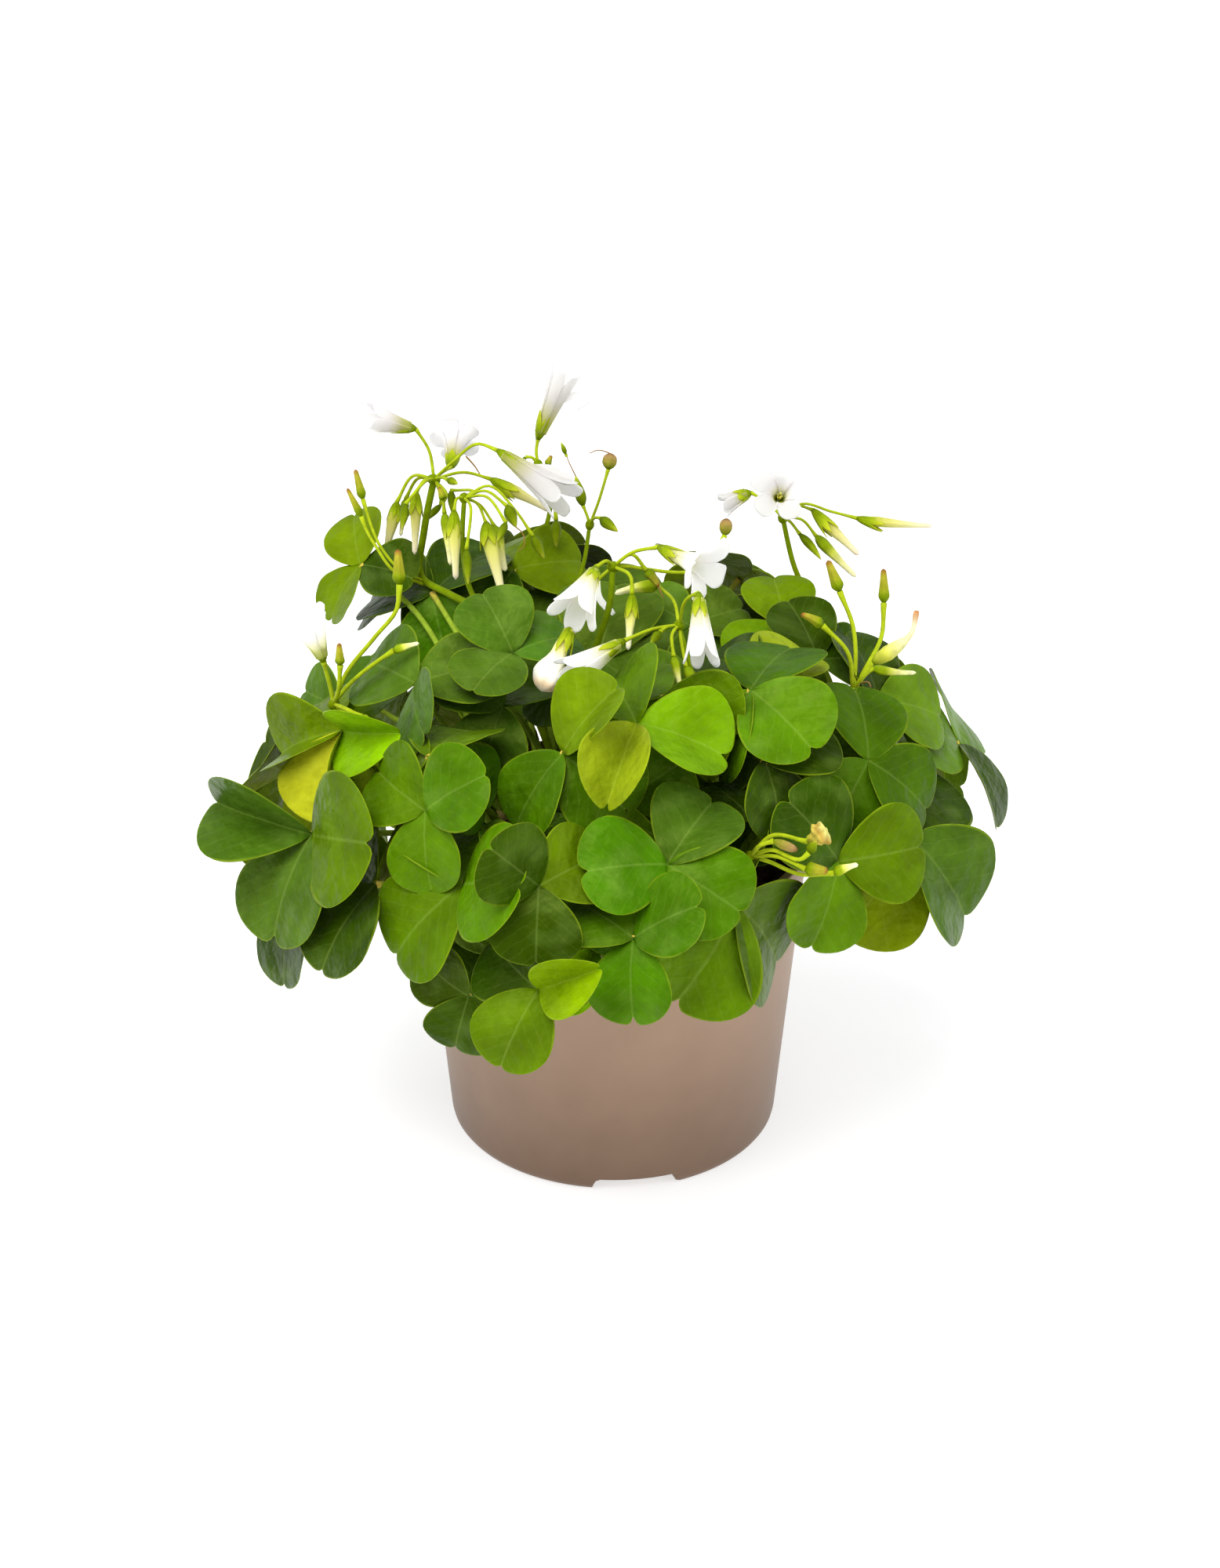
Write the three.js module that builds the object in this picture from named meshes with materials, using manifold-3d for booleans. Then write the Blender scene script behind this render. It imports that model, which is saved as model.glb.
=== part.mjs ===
// A green-leaved shamrock (Oxalis) in flower, growing in a 12 cm plastic nursery pot.
// Millimetres, +Z up. The pot's axis is the Z axis, and its foot stands at z = 0.
import * as THREE from 'three';
import { mergeVertices } from 'three/addons/utils/BufferGeometryUtils.js';
import Module from 'manifold-3d';

const wasm = await Module();
wasm.setup();

// ---- Driving dimensions ----
const FIT = 0.3; // clearance between neighbouring pieces

const POT = {
  height: 98, footRadius: 50, slope: 0.09, wall: 1.2, corner: 3, sides: 28,
  lipRadius: 60, lipDepth: 6, footWidth: 6, floorUnder: 4.6, floorTop: 7,
  notches: 3, notchWidth: 25, notchHeight: 4.3, notchAzimuth: -82,
  drains: 6, drainRadius: 4, drainCircle: 28,
};
const SOIL_TOP = 88;

// The foliage is a dome: a half ellipsoid that leans over the rim.
const DOME = { radius: 100, rise: 74, middle: 100 };

// A person sees the plant from the front, 28 degrees above the level. Leaves and flowers
// are laid out as that person sees them: mm across, mm up, mm nearer than the middle.
const SIGHT = { elevation: 28.45, range: 1100, middle: new THREE.Vector3(-1, 0, 112.4) };

const BLADE = {
  thickness: 0.7, halfWidth: 0.6, arch: 0.07, fold: 0.07,
  heel: -0.04, freeHeel: 0.15, // where a leaflet starts, as a share of its length
};
const PETIOLE = { radius: 1.3, steps: 4, stub: 14, sunk: 0.7, clearTop: 0.4 };
const CROWN = { radius: 3.6, hole: 4, ring: 2.1 };
const ROOT = { depth: 9, holeDepth: 10, above: 1.8, sides: 5, land: 0.5 };
const STALK = { radius: 1.3, steps: 9, root: 1.8, hole: 2.2, sunk: 0.4, upright: 6 };
const PEDICEL = { radius: 0.8, steps: 2 };
const KNOB = 2.2; // radius of the knob that an umbel's pedicels spring from
const HEAD = { calyxRadius: 2, seatedInKnob: 0.55, seatedOnPedicel: 0.06 };
const PETAL = {
  wall: 0.9, sinus: 0.32, petals: 5, throat: 1.1, throatHeight: 0.6, neck: 2, neckHeight: 0.55,
  rimTaper: 0.2, sinusDrop: 0.15,
};

// ---- The facing leaves: [across, up, depth below the dome] of the hub where the three
// leaflets meet, then [across, up] of each leaflet's tip ----
const FACING = { shortest: 18, levelLean: 5, outwardShare: 0.4 };
const FACING_LEAVES = [
  [[-32, 23, 24], [-42, 9], [-51, 33], [-18, 35]],
  [[29, 0, 24], [43, -14], [15, -12], [30, 20]],
  [[-14, -19, 24], [-30, -28], [-18, 5], [5, -30]],
  [[54, -2, 24], [73, -19], [52, 19], [36, -19]],
  [[-72, -2, 22], [-81, -26], [-88, 12], [-51, 0]],
  [[-74, 65, 8], [-75, 81], [-82, 48], [-58, 60]],
  [[-29, 64, 6], [-10, 69], [-42, 47], [-42, 78]],
  [[52, 47, 8], [50, 60], [72, 47], [36, 35]],
  [[62, 37, 10], [54, 55], [80, 40], [48, 22]],
  [[-60, 60, 6], [-76, 47], [-47, 73], [-49, 40]],
  [[-29, 39, 8], [-42, 28], [-37, 58], [-9, 47]],
  [[24, 47, 30], [41, 51], [10, 56], [30, 30]],
  [[5, 33, 14], [22, 53], [-8, 54], [5, 9]],
  [[44, 31, 8], [64, 43], [29, 40], [43, 9]],
  [[80, 25, 4], [69, 47], [96, 23], [64, 12]],
  [[-81, 23, 8], [-94, 25], [-72, 30], [-84, 5]],
  [[-78, 16, 4], [-70, 28], [-88, 23], [-76, 2]],
  [[-53, 57, 0], [-49, 32], [-73, 56], [-36, 70]],
  [[-3, 37, 36], [-26, 22], [3, 60], [17, 19]],
  [[-58, 30, 2], [-47, 9], [-79, 40], [-32, 30]],
  [[16, 26, 6], [37, 9], [-3, 27], [12, 2]],
  [[46, 7, 6], [54, -15], [30, 15], [66, 16]],
  [[-89, 0, 8], [-112, -15], [-101, 10], [-79, -19]],
  [[-84, 15, 4], [-100, 0], [-92, 18], [-79, -2]],
  [[-70, -30, 12], [-87, -55], [-84, -14], [-51, -26]],
  [[-92, -32, 8], [-97, -60], [-109, -28], [-77, -37]],
  [[-89, -15, 0], [-101, -47], [-70, -32], [-120, -19]],
  [[-42, -63, 8], [-47, -79], [-58, -54], [-23, -63]],
  [[-21, -61, 2], [-35, -82], [-37, -49], [-2, -54]],
  [[-39, -44, 4], [-40, -70], [-56, -28], [-18, -28]],
  [[68, -23, 10], [60, -49], [52, -7], [92, -21]],
  [[-4, -49, 8], [-18, -66], [-18, -33], [17, -44]],
  [[7, -46, 2], [8, -71], [-11, -33], [26, -35]],
  [[38, -36, 0], [33, -71], [51, -61], [43, -16]],
  [[90, -16, 0], [82, -50], [105, -44], [99, 4]],
  [[-21, -30, 10], [-21, -53], [-37, -14], [-2, -19]],
  [[-37, -26, 8], [-34, -51], [-53, -14], [-21, -12]],
  [[-44, -30, 8], [-67, -52], [-56, -9], [-23, -33]],
  [[-2, -19, 10], [-15, -37], [-14, 0], [17, -21]],
  [[8, -26, 0], [5, -53], [-11, -12], [26, -14]],
  [[17, -24, 4], [43, -30], [31, -7], [0, -19]],
  [[3, -5, 4], [4, -29], [-16, 9], [24, 9]],
  [[77, 7, 2], [71, -19], [94, -11], [78, 28]],
  [[104, 12, 0], [87, 16], [115, -13], [99, 26]],
  [[-32, -23, 0], [-25, -32], [-38, -26], [-29, -15]],
  [[-54, 8, 0], [-39, -12], [-68, -15], [-38, 16]],
  [[-55, -8, 2], [-52, -32], [-70, 5], [-36, 2]],
  [[-14, 9, 2], [-23, -16], [-1, -7], [5, 25]],
  [[-80, 16, 0], [-83, -12], [-68, 0], [-92, -4]],
  [[8, 18, -2], [7, -9], [34, 5], [5, 33]],
  [[42, 28, -2], [57, 7], [61, 40], [40, 0]],
];

// ---- The flower heads: each umbel's depth, its stalk from the hub down into the foliage, and
// its heads: kind, size, then the points of the pedicel, of the calyx and of the flower's
// mouth or the bud's tip, as [across, up, nearer than the hub] ----
const UMBELS = [
  { name: 'a', foot: [-14, 7], near: -16,
    stalk: [[-52.5, 91, 0], [-55, 79, 0], [-55.3, 58.5, -4]], heads: [
    ['open', 4.6, [-54, 99.5, 2], [-58, 106, 6], [-64, 107, 8], [-72.5, 109.5, 12]],
    ['open', 6, [-47, 96, 6], [-39, 101.5, 12], [-33.5, 99.5, 14], [-26.5, 94.5, 17], [-13, 84.5, 23]],
    ['tube', 1.9, [-43.5, 93, -2], [-35.5, 91, -3], [-29, 87, -4], [-18, 81.5, -5]],
    ['open', 8, [-50, 93, -8], [-47.5, 94.5, -13], [-47, 97.5, -17], [-46, 103, -25]],
    ['tube', 1.7, [-55.5, 90.5, 4], [-57.8, 87, 6], [-58, 81, 6], [-58.3, 68.5, 6]],
    ['tube', 1.9, [-58.5, 92, -3], [-63.7, 84, -6], [-64.3, 79, -7], [-67, 69, -8]],
    ['bud', 1.4, [-55.5, 90, 8], [-61, 83.5, 11], [-62, 76, 12]],
  ] },
  { name: 'b', foot: [-13, -1], near: -2,
    stalk: [[-43.5, 85.5, 0], [-44, 72.5, 0], [-43, 61, -3]], heads: [
    ['tube', 1.9, [-45.8, 85, 4], [-46.5, 81.5, 6], [-46.6, 74.5, 6], [-46, 61, 6]],
    ['bud', 1.9, [-37.5, 87.5, 4], [-30.7, 83, 9], [-28, 76.5, 9]],
    ['tube', 2.3, [-40, 84, -2], [-37, 78, 0], [-36, 71.5, 2], [-32, 55.7, 4]],
    ['bud', 1.3, [-36.5, 85.5, 8], [-31, 78, 12], [-33.7, 72.3, 14]],
    ['bud', 1.4, [-41.5, 82, 10], [-42.8, 70, 11], [-42.3, 59.5, 12]],
  ] },
  { name: 't', foot: [-4, 22], near: -34,
    stalk: [[-21.5, 95.5, 0], [-17.8, 82.5, 2], [-20.3, 72, 1], [-14, 44, 3]], heads: [
    ['open', 4.5, [-22, 99.5, 0], [-21.5, 102.8, 0], [-19.3, 109.5, 2], [-13, 123.5, 6]],
    ['bud', 1.2, [-19.8, 95, 2], [-18.8, 95.3, 3], [-17.5, 98, 4]],
    ['bud', 1.6, [-17, 90, 10], [-16.1, 78.7, 12], [-16, 70.6, 12]],
  ] },
  { name: 'c', foot: [-1, 4], near: -14,
    stalk: [[-6, 77.5, 0], [-7.5, 66.5, 0], [-11, 58.5, -2]], heads: [
    ['bud', 1.7, [-7, 80.5, 0], [-8, 83, 0], [-10.3, 92, 0]],
    ['bud', 2.1, [-3.5, 84, 4], [-0.5, 94, 8], [0.3, 98.7, 8]],
    ['bud', 1.7, [-4, 79.5, 5], [-2.8, 79.3, 6], [2.4, 75.3, 10]],
  ] },
  { name: 'd', foot: [-1, -5], near: 36,
    stalk: [[1, 65, 0], [0, 54, 0], [-3.5, 43.5, -2]], heads: [
    ['open', 7, [-1, 66.5, 3], [-4.2, 64.7, 6], [-5.7, 60.7, 9], [-11.5, 50, 15]],
    ['open', 10, [6.5, 69, 3], [14.5, 70.7, 7], [20, 67.7, 12], [29, 64, 17]],
    ['tube', 1.6, [6.4, 61, 8], [6.6, 56.7, 8], [6.4, 50.5, 8], [5.4, 40, 8]],
    ['wilting', 4, [-3.5, 61, 0], [-11.3, 48.5, 6], [-14, 40, 10], [-20.5, 27.8, 12]],
    ['bud', 1.6, [6.5, 68.5, -1], [10.8, 63.8, -3], [14.5, 59, -4]],
    ['bud', 1.8, [30, 66.5, -9], [34.3, 74.3, -8], [34.8, 79.3, -8]],
  ] },
  { name: 'e', foot: [12, -3], near: 44,
    stalk: [[20.5, 47.5, 0], [21.5, 38.5, 0], [25, 29, -2]], heads: [
    ['open', 5.4, [13, 46.3, 4], [4.2, 42.8, 8], [-2.3, 38.8, 12], [-13, 32, 17]],
    ['open', 4.8, [24, 56, 11], [26.4, 57, 13], [26.7, 50.3, 16], [27.4, 36.5, 20]],
    ['bud', 1.3, [18.5, 44.5, 4], [19, 38, 6], [21.3, 27.5, 7]],
    ['bud', 1.7, [21.7, 40, 1], [22.7, 35, 2], [28.5, 22, 2]],
    ['bud', 1.3, [16.8, 46.8, 2], [15, 45.4, 4], [12, 41.6, 5]],
    ['bud', 1.9, [19.3, 54, -7], [14.3, 59.2, -18], [1.5, 56.8, -20]],
  ] },
  { name: 'f', foot: [17, 7], near: 2,
    stalk: [[51.5, 79.5, 0], [53.5, 69, 0], [59, 54, -3]], heads: [
    ['open', 9, [51, 82, 2], [50, 84, 6], [51, 86, 10], [51, 87.5, 19]],
    ['open', 3.4, [47.5, 83.5, -2], [42, 87, -6], [38, 85.4, -6], [33.5, 83, -6]],
    ['tube', 1.5, [57, 83.5, 2], [66, 81.3, 4], [73.7, 79.3, 6], [80.5, 77.3, 7], [96.4, 77, 8]],
    ['tube', 1.8, [56, 83, 6], [60.5, 81.8, 10], [65.7, 76, 12], [74.3, 68.3, 13]],
    ['bud', 1.3, [54, 78, 6], [56.6, 74.6, 9], [63, 66.9, 12]],
    ['bud', 1.7, [57.5, 78.7, -4], [61.5, 74, -5], [73.4, 61.8, -5]],
  ] },
  { name: 'g', foot: [35, -3], near: 28,
    stalk: [[72.5, 28, 0], [72.5, 16.5, 0], [69, 9, -3]], heads: [
    ['bud', 1.8, [73.3, 37.5, 0], [72.5, 47, 0], [68.5, 57.5, 2], [65, 66.7, 2]],
    ['bud', 1.6, [76.5, 35, -3], [81, 44, -6], [81.7, 54, -7], [81.6, 64.2, -8]],
    ['bud', 2.3, [76, 33, 4], [78.4, 36.3, 5], [90.5, 47, 11]],
    ['bud', 1.4, [76.5, 33, -2], [78.2, 34.5, -3], [91.3, 33.2, -5]],
    ['bud', 1.6, [70.5, 40, 8], [63.4, 47.3, 10], [57, 50.7, 11]],
  ] },
  { name: 'h', foot: [-34, -2], near: 30,
    stalk: [[-82.5, 24, 0], [-79, 14, 0], [-72, 8, -3]], heads: [
    ['bud', 1.9, [-79, 32.5, 0], [-70, 44, 0], [-63.5, 52.5, 1], [-62.8, 59.5, 2], [-63.3, 70, 2]],
    ['bud', 1.3, [-77.5, 30, 4], [-69.5, 36.5, 7], [-64.5, 39.8, 9], [-57, 42, 10]],
    ['open', 6, [-83.5, 29, 2], [-85.5, 36.5, 6], [-87, 41.5, 8], [-91, 50.5, 13]],
    ['bud', 1.4, [-81, 28, 7], [-80.5, 35.5, 10], [-80.8, 42, 12]],
    ['bud', 1.5, [-78, 22, 8], [-74, 20, 11], [-69, 16.3, 13]],
    ['bud', 1.6, [-78, 20.5, 3], [-70, 16, 6], [-62.3, 12.6, 8], [-53.6, 11.7, 9]],
  ] },
  { name: 'i', foot: [27, -28], near: 74,
    stalk: [[42, -21.5, 0], [40, -23.5, -4], [35.5, -25.5, -14]], heads: [
    ['bud', 3, [48, -15.5, 1], [59, -17.2, 3], [64.5, -13.5, 5]],
    ['bud', 2, [50.5, -21.8, 6], [58.3, -25.3, 7], [65, -26, 7]],
    ['bud', 1.5, [47, -23, 1], [57, -27, 2], [66.8, -26.6, 3], [74, -24, 3]],
    ['bud', 1.3, [45.5, -18, 7], [48.8, -17, 8], [56, -19.8, 9]],
  ] },
];

// ---- The seeded leaves of the sides and back ----
const SEEDED = {
  seed: 21, spiral: 66, top: 0.98, span: 1.12, layers: 3, layerDepth: 0.12, depthRange: 0.03,
  facing: 0.12, length: [24, 30], droop: [8, 30], tilt: 16, upward: 0.35, backReach: 1.2,
  bareShoulder: { across: -72, up: 26 },
};

// ---- How a leaf or stalk gives way: it takes the first of these that clears its neighbours.
// A leaf slides along its line, and its leaflets swing at the tip and roll on their midribs. ----
const SLIDES = [0, -2, 2, -4, 4, -6, 6, -8, 8, -11, 11, -14, 14, -17, -20, -24];
const SWINGS = [0, -0.2, 0.2, -0.4, 0.4, -0.65, 0.65, -0.9, 0.9, -1.3, -1.8];
const ROLLS = [0, 15, -15, 30, -30, 50, -50];
const ROLL_PER_SWING = 45;
const SWINGS_AND_ROLLS = SWINGS.flatMap((swing) => ROLLS.map((roll) => ({ swing, roll })))
  .map((way) => ({ ...way, cost: Math.abs(way.swing) + Math.abs(way.roll) / ROLL_PER_SWING }))
  .sort((a, b) => a.cost - b.cost);
// A petiole or stalk leans away from straight at its top, rises more steeply from its crown,
// bows sideways or hangs straight for longer.
const LEAN_TURNS = [0, 60, 120, 180, 240, 300];
const LEANS = [[0, 0], ...[25, 50].flatMap((lean) => LEAN_TURNS.map((turn) => [lean, turn]))];
const RISES = [0.45, 0.25, 0.7, 1];
const BOWS = [0, 0.2, -0.2, 0.4, -0.4];
const HANGS = [0.35, 0.15, 0.6];
const PUSHES = [0, 0.2, -0.2, 0.4];
const COST = { lean: 1.2, bow: 1.5 };
const OUTWARD_AT_FOOT = 0.1;
const STALK_PATH = { lowHeight: 0.3, highShare: 0.35, riseShare: 0.5 };

// Leaves share a crown with their neighbours: three tiers of crowns, by the hub's distance
// from the pot's axis.
const TIERS = [
  { reach: 50, crowns: 13 },
  { reach: 80, crowns: 28 },
  { reach: 200, crowns: 43 },
];
const LEAVES_PER_CROWN = 3;
const MOST_PER_CROWN = 5;
const CROWNS_TRIED = 5;
const SPREADING_PASSES = 40;
const EVENING = 0.5; // how far a leaf's leaflets are drawn toward even thirds of a turn

const COLOURS = {
  pot: [0xa08a76, 0.55], soil: [0x2a1d15, 0.95], leaf: [0x55861c, 0.5],
  stalk: [0x8fae3e, 0.5], petal: [0xf4f4ee, 0.6],
};

// ---- Small tools ----
const X = new THREE.Vector3(1, 0, 0);
const Z = new THREE.Vector3(0, 0, 1);
const toRadians = THREE.MathUtils.degToRad;
const elevation = toRadians(SIGHT.elevation);
const UP = new THREE.Vector3(0, Math.sin(elevation), Math.cos(elevation));
const TOWARD = new THREE.Vector3(0, -Math.cos(elevation), Math.sin(elevation));

// Every combination of one entry from each list, the last list turning fastest.
const everyChoice = (...lists) => lists.reduce(
  (rows, list) => rows.flatMap((row) => list.map((entry) => [...row, entry])), [[]]);

function random(state) {
  state.value = (state.value * 1664525 + 1013904223) % 4294967296;
  return state.value / 4294967296;
}

const between = ([low, high], share) => low + (high - low) * share;

// A place given as seen: across and up shrink as it comes nearer to the eye.
function seen(across, up, near) {
  const scale = 1 - near / SIGHT.range;
  return SIGHT.middle.clone().addScaledVector(X, across * scale)
    .addScaledVector(UP, up * scale).addScaledVector(TOWARD, near);
}

// Where a place is seen, across and up: the opposite of seen.
function sightOf(place) {
  const offset = place.clone().sub(SIGHT.middle);
  const scale = 1 - offset.dot(TOWARD) / SIGHT.range;
  return { across: offset.x / scale, up: offset.dot(UP) / scale };
}

// How near the dome's surface is along the line of sight (its rim, where the line misses it).
function domeNear(across, up) {
  const squash = new THREE.Vector3(1 / DOME.radius, 1 / DOME.radius, 1 / DOME.rise);
  const start = seen(across, up, 0).sub(new THREE.Vector3(0, 0, DOME.middle)).multiply(squash);
  const step = seen(across, up, 1).sub(seen(across, up, 0)).multiply(squash);
  const a = step.dot(step);
  const b = start.dot(step);
  const c = start.dot(start) - 1;
  return (-b + Math.sqrt(Math.max(b * b - a * c, 0))) / a;
}

function domeOutward(point) {
  return new THREE.Vector3(point.x / DOME.radius ** 2, point.y / DOME.radius ** 2,
    (point.z - DOME.middle) / DOME.rise ** 2).normalize();
}

// A closed geometry as a solid, and a solid as a geometry.
function toSolid(geometry) {
  geometry.deleteAttribute('normal');
  geometry.deleteAttribute('uv');
  const merged = mergeVertices(geometry, 1e-4);
  return new wasm.Manifold(new wasm.Mesh({
    numProp: 3,
    vertProperties: new Float32Array(merged.attributes.position.array),
    triVerts: new Uint32Array(merged.index.array),
  }));
}

function toGeometry(solid) {
  const mesh = solid.getMesh();
  const geometry = new THREE.BufferGeometry();
  geometry.setAttribute('position', new THREE.BufferAttribute(mesh.vertProperties, 3));
  geometry.setIndex(new THREE.BufferAttribute(mesh.triVerts, 1));
  geometry.computeVertexNormals();
  return geometry;
}

function join(solids) {
  return solids.reduce((whole, solid) => whole.add(solid));
}

// A solid turned about an axis from [radius, height] points.
function turned(profile, sides) {
  const points = profile.map(([radius, height]) => new THREE.Vector2(radius, height));
  return new THREE.LatheGeometry(points, sides).rotateX(Math.PI / 2);
}

// Moves a geometry built along +Z so that it starts at a point and follows a direction.
function aimed(geometry, start, direction) {
  const turn = new THREE.Quaternion().setFromUnitVectors(Z, direction.clone().normalize());
  return geometry.applyQuaternion(turn).translate(start.x, start.y, start.z);
}

// The foot of a clump or stalk, in its hole in the soil.
function rootAt(x, y, radius) {
  const height = ROOT.depth + ROOT.above;
  const root = new THREE.CylinderGeometry(radius, radius, height, ROOT.sides);
  return toSolid(root.rotateX(Math.PI / 2).translate(x, y, SOIL_TOP + ROOT.above - height / 2));
}

function tube(points, radius, sides, steps) {
  const corners = Array.from({ length: sides }, (_, i) => {
    const angle = 2 * Math.PI * i / sides;
    return new THREE.Vector2(radius * Math.cos(angle), radius * Math.sin(angle));
  });
  return toSolid(new THREE.ExtrudeGeometry(new THREE.Shape(corners),
    { steps, bevelEnabled: false, extrudePath: new THREE.CatmullRomCurve3(points) }));
}

// A closed straight-sided tube through every one of its points: what a stem's neighbours must clear.
function stemGauge(points, radius) {
  const sides = 6;
  const tangents = points.map((_, i) => (
    points[Math.min(i + 1, points.length - 1)].clone().sub(points[Math.max(i - 1, 0)]).normalize()));
  const turn = new THREE.Quaternion().setFromUnitVectors(Z, tangents[0]);
  let spokes = Array.from({ length: sides }, (_, k) => (
    X.clone().applyAxisAngle(Z, 2 * Math.PI * k / sides).applyQuaternion(turn)));
  const vertices = [];
  tangents.forEach((tangent, i) => {
    if (i > 0) turn.setFromUnitVectors(tangents[i - 1], tangent);
    if (i > 0) spokes = spokes.map((spoke) => spoke.clone().applyQuaternion(turn));
    spokes.forEach((spoke) => vertices.push(points[i].clone().addScaledVector(spoke, radius)));
  });
  const last = vertices.length - sides;
  const index = [];
  for (let k = 0; k < sides; k += 1) {
    const next = (k + 1) % sides;
    if (k > 0 && next > 0) index.push(0, next, k, last, last + k, last + next);
    for (let low = 0; low < last; low += sides) {
      index.push(low + k, low + next, low + sides + k, low + sides + k, low + next, low + sides + next);
    }
  }
  const geometry = new THREE.BufferGeometry().setFromPoints(vertices);
  geometry.setIndex(index);
  return toSolid(geometry);
}

// ---- Pot and soil ----
const wallRadius = (z) => POT.footRadius + POT.slope * z;
const innerRadius = (z) => wallRadius(z) - POT.wall;

function makePot() {
  const lipFoot = POT.height - POT.lipDepth;
  const corner = [0, 30, 60].map((degrees) => {
    const angle = toRadians(degrees);
    return [POT.footRadius - POT.corner * (1 - Math.sin(angle)), POT.corner * (1 - Math.cos(angle))];
  });
  let pot = toSolid(turned([
    [0, POT.floorUnder], [POT.footRadius - POT.footWidth - 1, POT.floorUnder],
    [POT.footRadius - POT.footWidth, 0], ...corner, [wallRadius(POT.corner), POT.corner],
    [wallRadius(lipFoot), lipFoot], [POT.lipRadius, lipFoot + 1], [POT.lipRadius, POT.height - 1],
    [POT.lipRadius - 1, POT.height], [innerRadius(POT.height), POT.height],
    [innerRadius(POT.floorTop), POT.floorTop], [0, POT.floorTop],
  ], POT.sides));
  for (let i = 0; i < POT.notches; i += 1) {
    const notch = new THREE.BoxGeometry(POT.footWidth * 3, POT.notchWidth, POT.notchHeight * 2);
    notch.translate(POT.footRadius, 0, 0);
    notch.rotateZ(toRadians(POT.notchAzimuth + i * 360 / POT.notches));
    pot = pot.subtract(toSolid(notch));
  }
  for (let i = 0; i < POT.drains; i += 1) {
    const drain = new THREE.CylinderGeometry(POT.drainRadius, POT.drainRadius, POT.floorTop * 2, 6);
    drain.rotateX(Math.PI / 2).translate(POT.drainCircle, 0, POT.floorTop);
    drain.rotateZ(2 * Math.PI * (i + 0.5) / POT.drains);
    pot = pot.subtract(toSolid(drain));
  }
  return pot;
}

function makeSoil(holes) {
  const bottom = POT.floorTop + FIT;
  const soil = toSolid(turned([
    [0, bottom], [innerRadius(bottom) - FIT, bottom],
    [innerRadius(SOIL_TOP) - FIT, SOIL_TOP], [0, SOIL_TOP],
  ], POT.sides));
  return holes.reduce((rest, { x, y, radius }) => {
    const hole = new THREE.CylinderGeometry(radius, radius, ROOT.holeDepth * 2, ROOT.sides);
    return rest.subtract(toSolid(hole.rotateX(Math.PI / 2).translate(x, y, SOIL_TOP)));
  }, soil);
}

// ---- Leaves ----
// Half of a leaflet's outline as shares of its half width and length, from the heel to the notch.
const HALF_OUTLINE = [[1, 0.68], [0.6, 1.02]];
const NOTCH = 0.88;
const FAN_CENTRE = 0.55;
const OUTLINE = [...HALF_OUTLINE, [0, NOTCH], ...HALF_OUTLINE.map(([x, y]) => [-x, y]).reverse()];

// A function from a place on a leaflet, [across, along], to its upper (1) or lower (-1) face.
function leafletFace(hub, way, length, normal, thickness) {
  const across = way.clone().cross(normal);
  return ([x, y], side) => {
    const rise = length * (BLADE.arch * 4 * y * (1 - y) + BLADE.fold * Math.abs(x)) + side * thickness / 2;
    return hub.clone().addScaledVector(across, x * length * BLADE.halfWidth)
      .addScaledVector(way, y * length).addScaledVector(normal, rise);
  };
}

// A leaflet by itself, from a heel a little out from the hub: what the neighbours must clear.
function leafletGauge({ hub, way, length, normal }, extra, heel) {
  const place = leafletFace(hub, way, length, normal, BLADE.thickness + extra);
  const ring = [[0, heel], ...OUTLINE, [0, FAN_CENTRE]];
  const points = [1, -1].flatMap((side) => ring.map((spot) => place(spot, side)));
  const count = ring.length - 1;
  const index = [];
  for (let i = 0; i < count; i += 1) {
    const next = (i + 1) % count;
    index.push(count, i, next, 2 * count + 1, count + 1 + next, count + 1 + i);
    index.push(i, count + 1 + i, next, next, count + 1 + i, count + 1 + next);
  }
  const geometry = new THREE.BufferGeometry().setFromPoints(points);
  geometry.setIndex(index);
  return toSolid(geometry);
}

// The turn about a leaf's normal from its first direction to another, from 0 to a whole turn.
const turnTo = (normal, first, way) => (
  Math.atan2(normal.clone().cross(first).dot(way), first.dot(way)) + 2 * Math.PI) % (2 * Math.PI);

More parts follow.
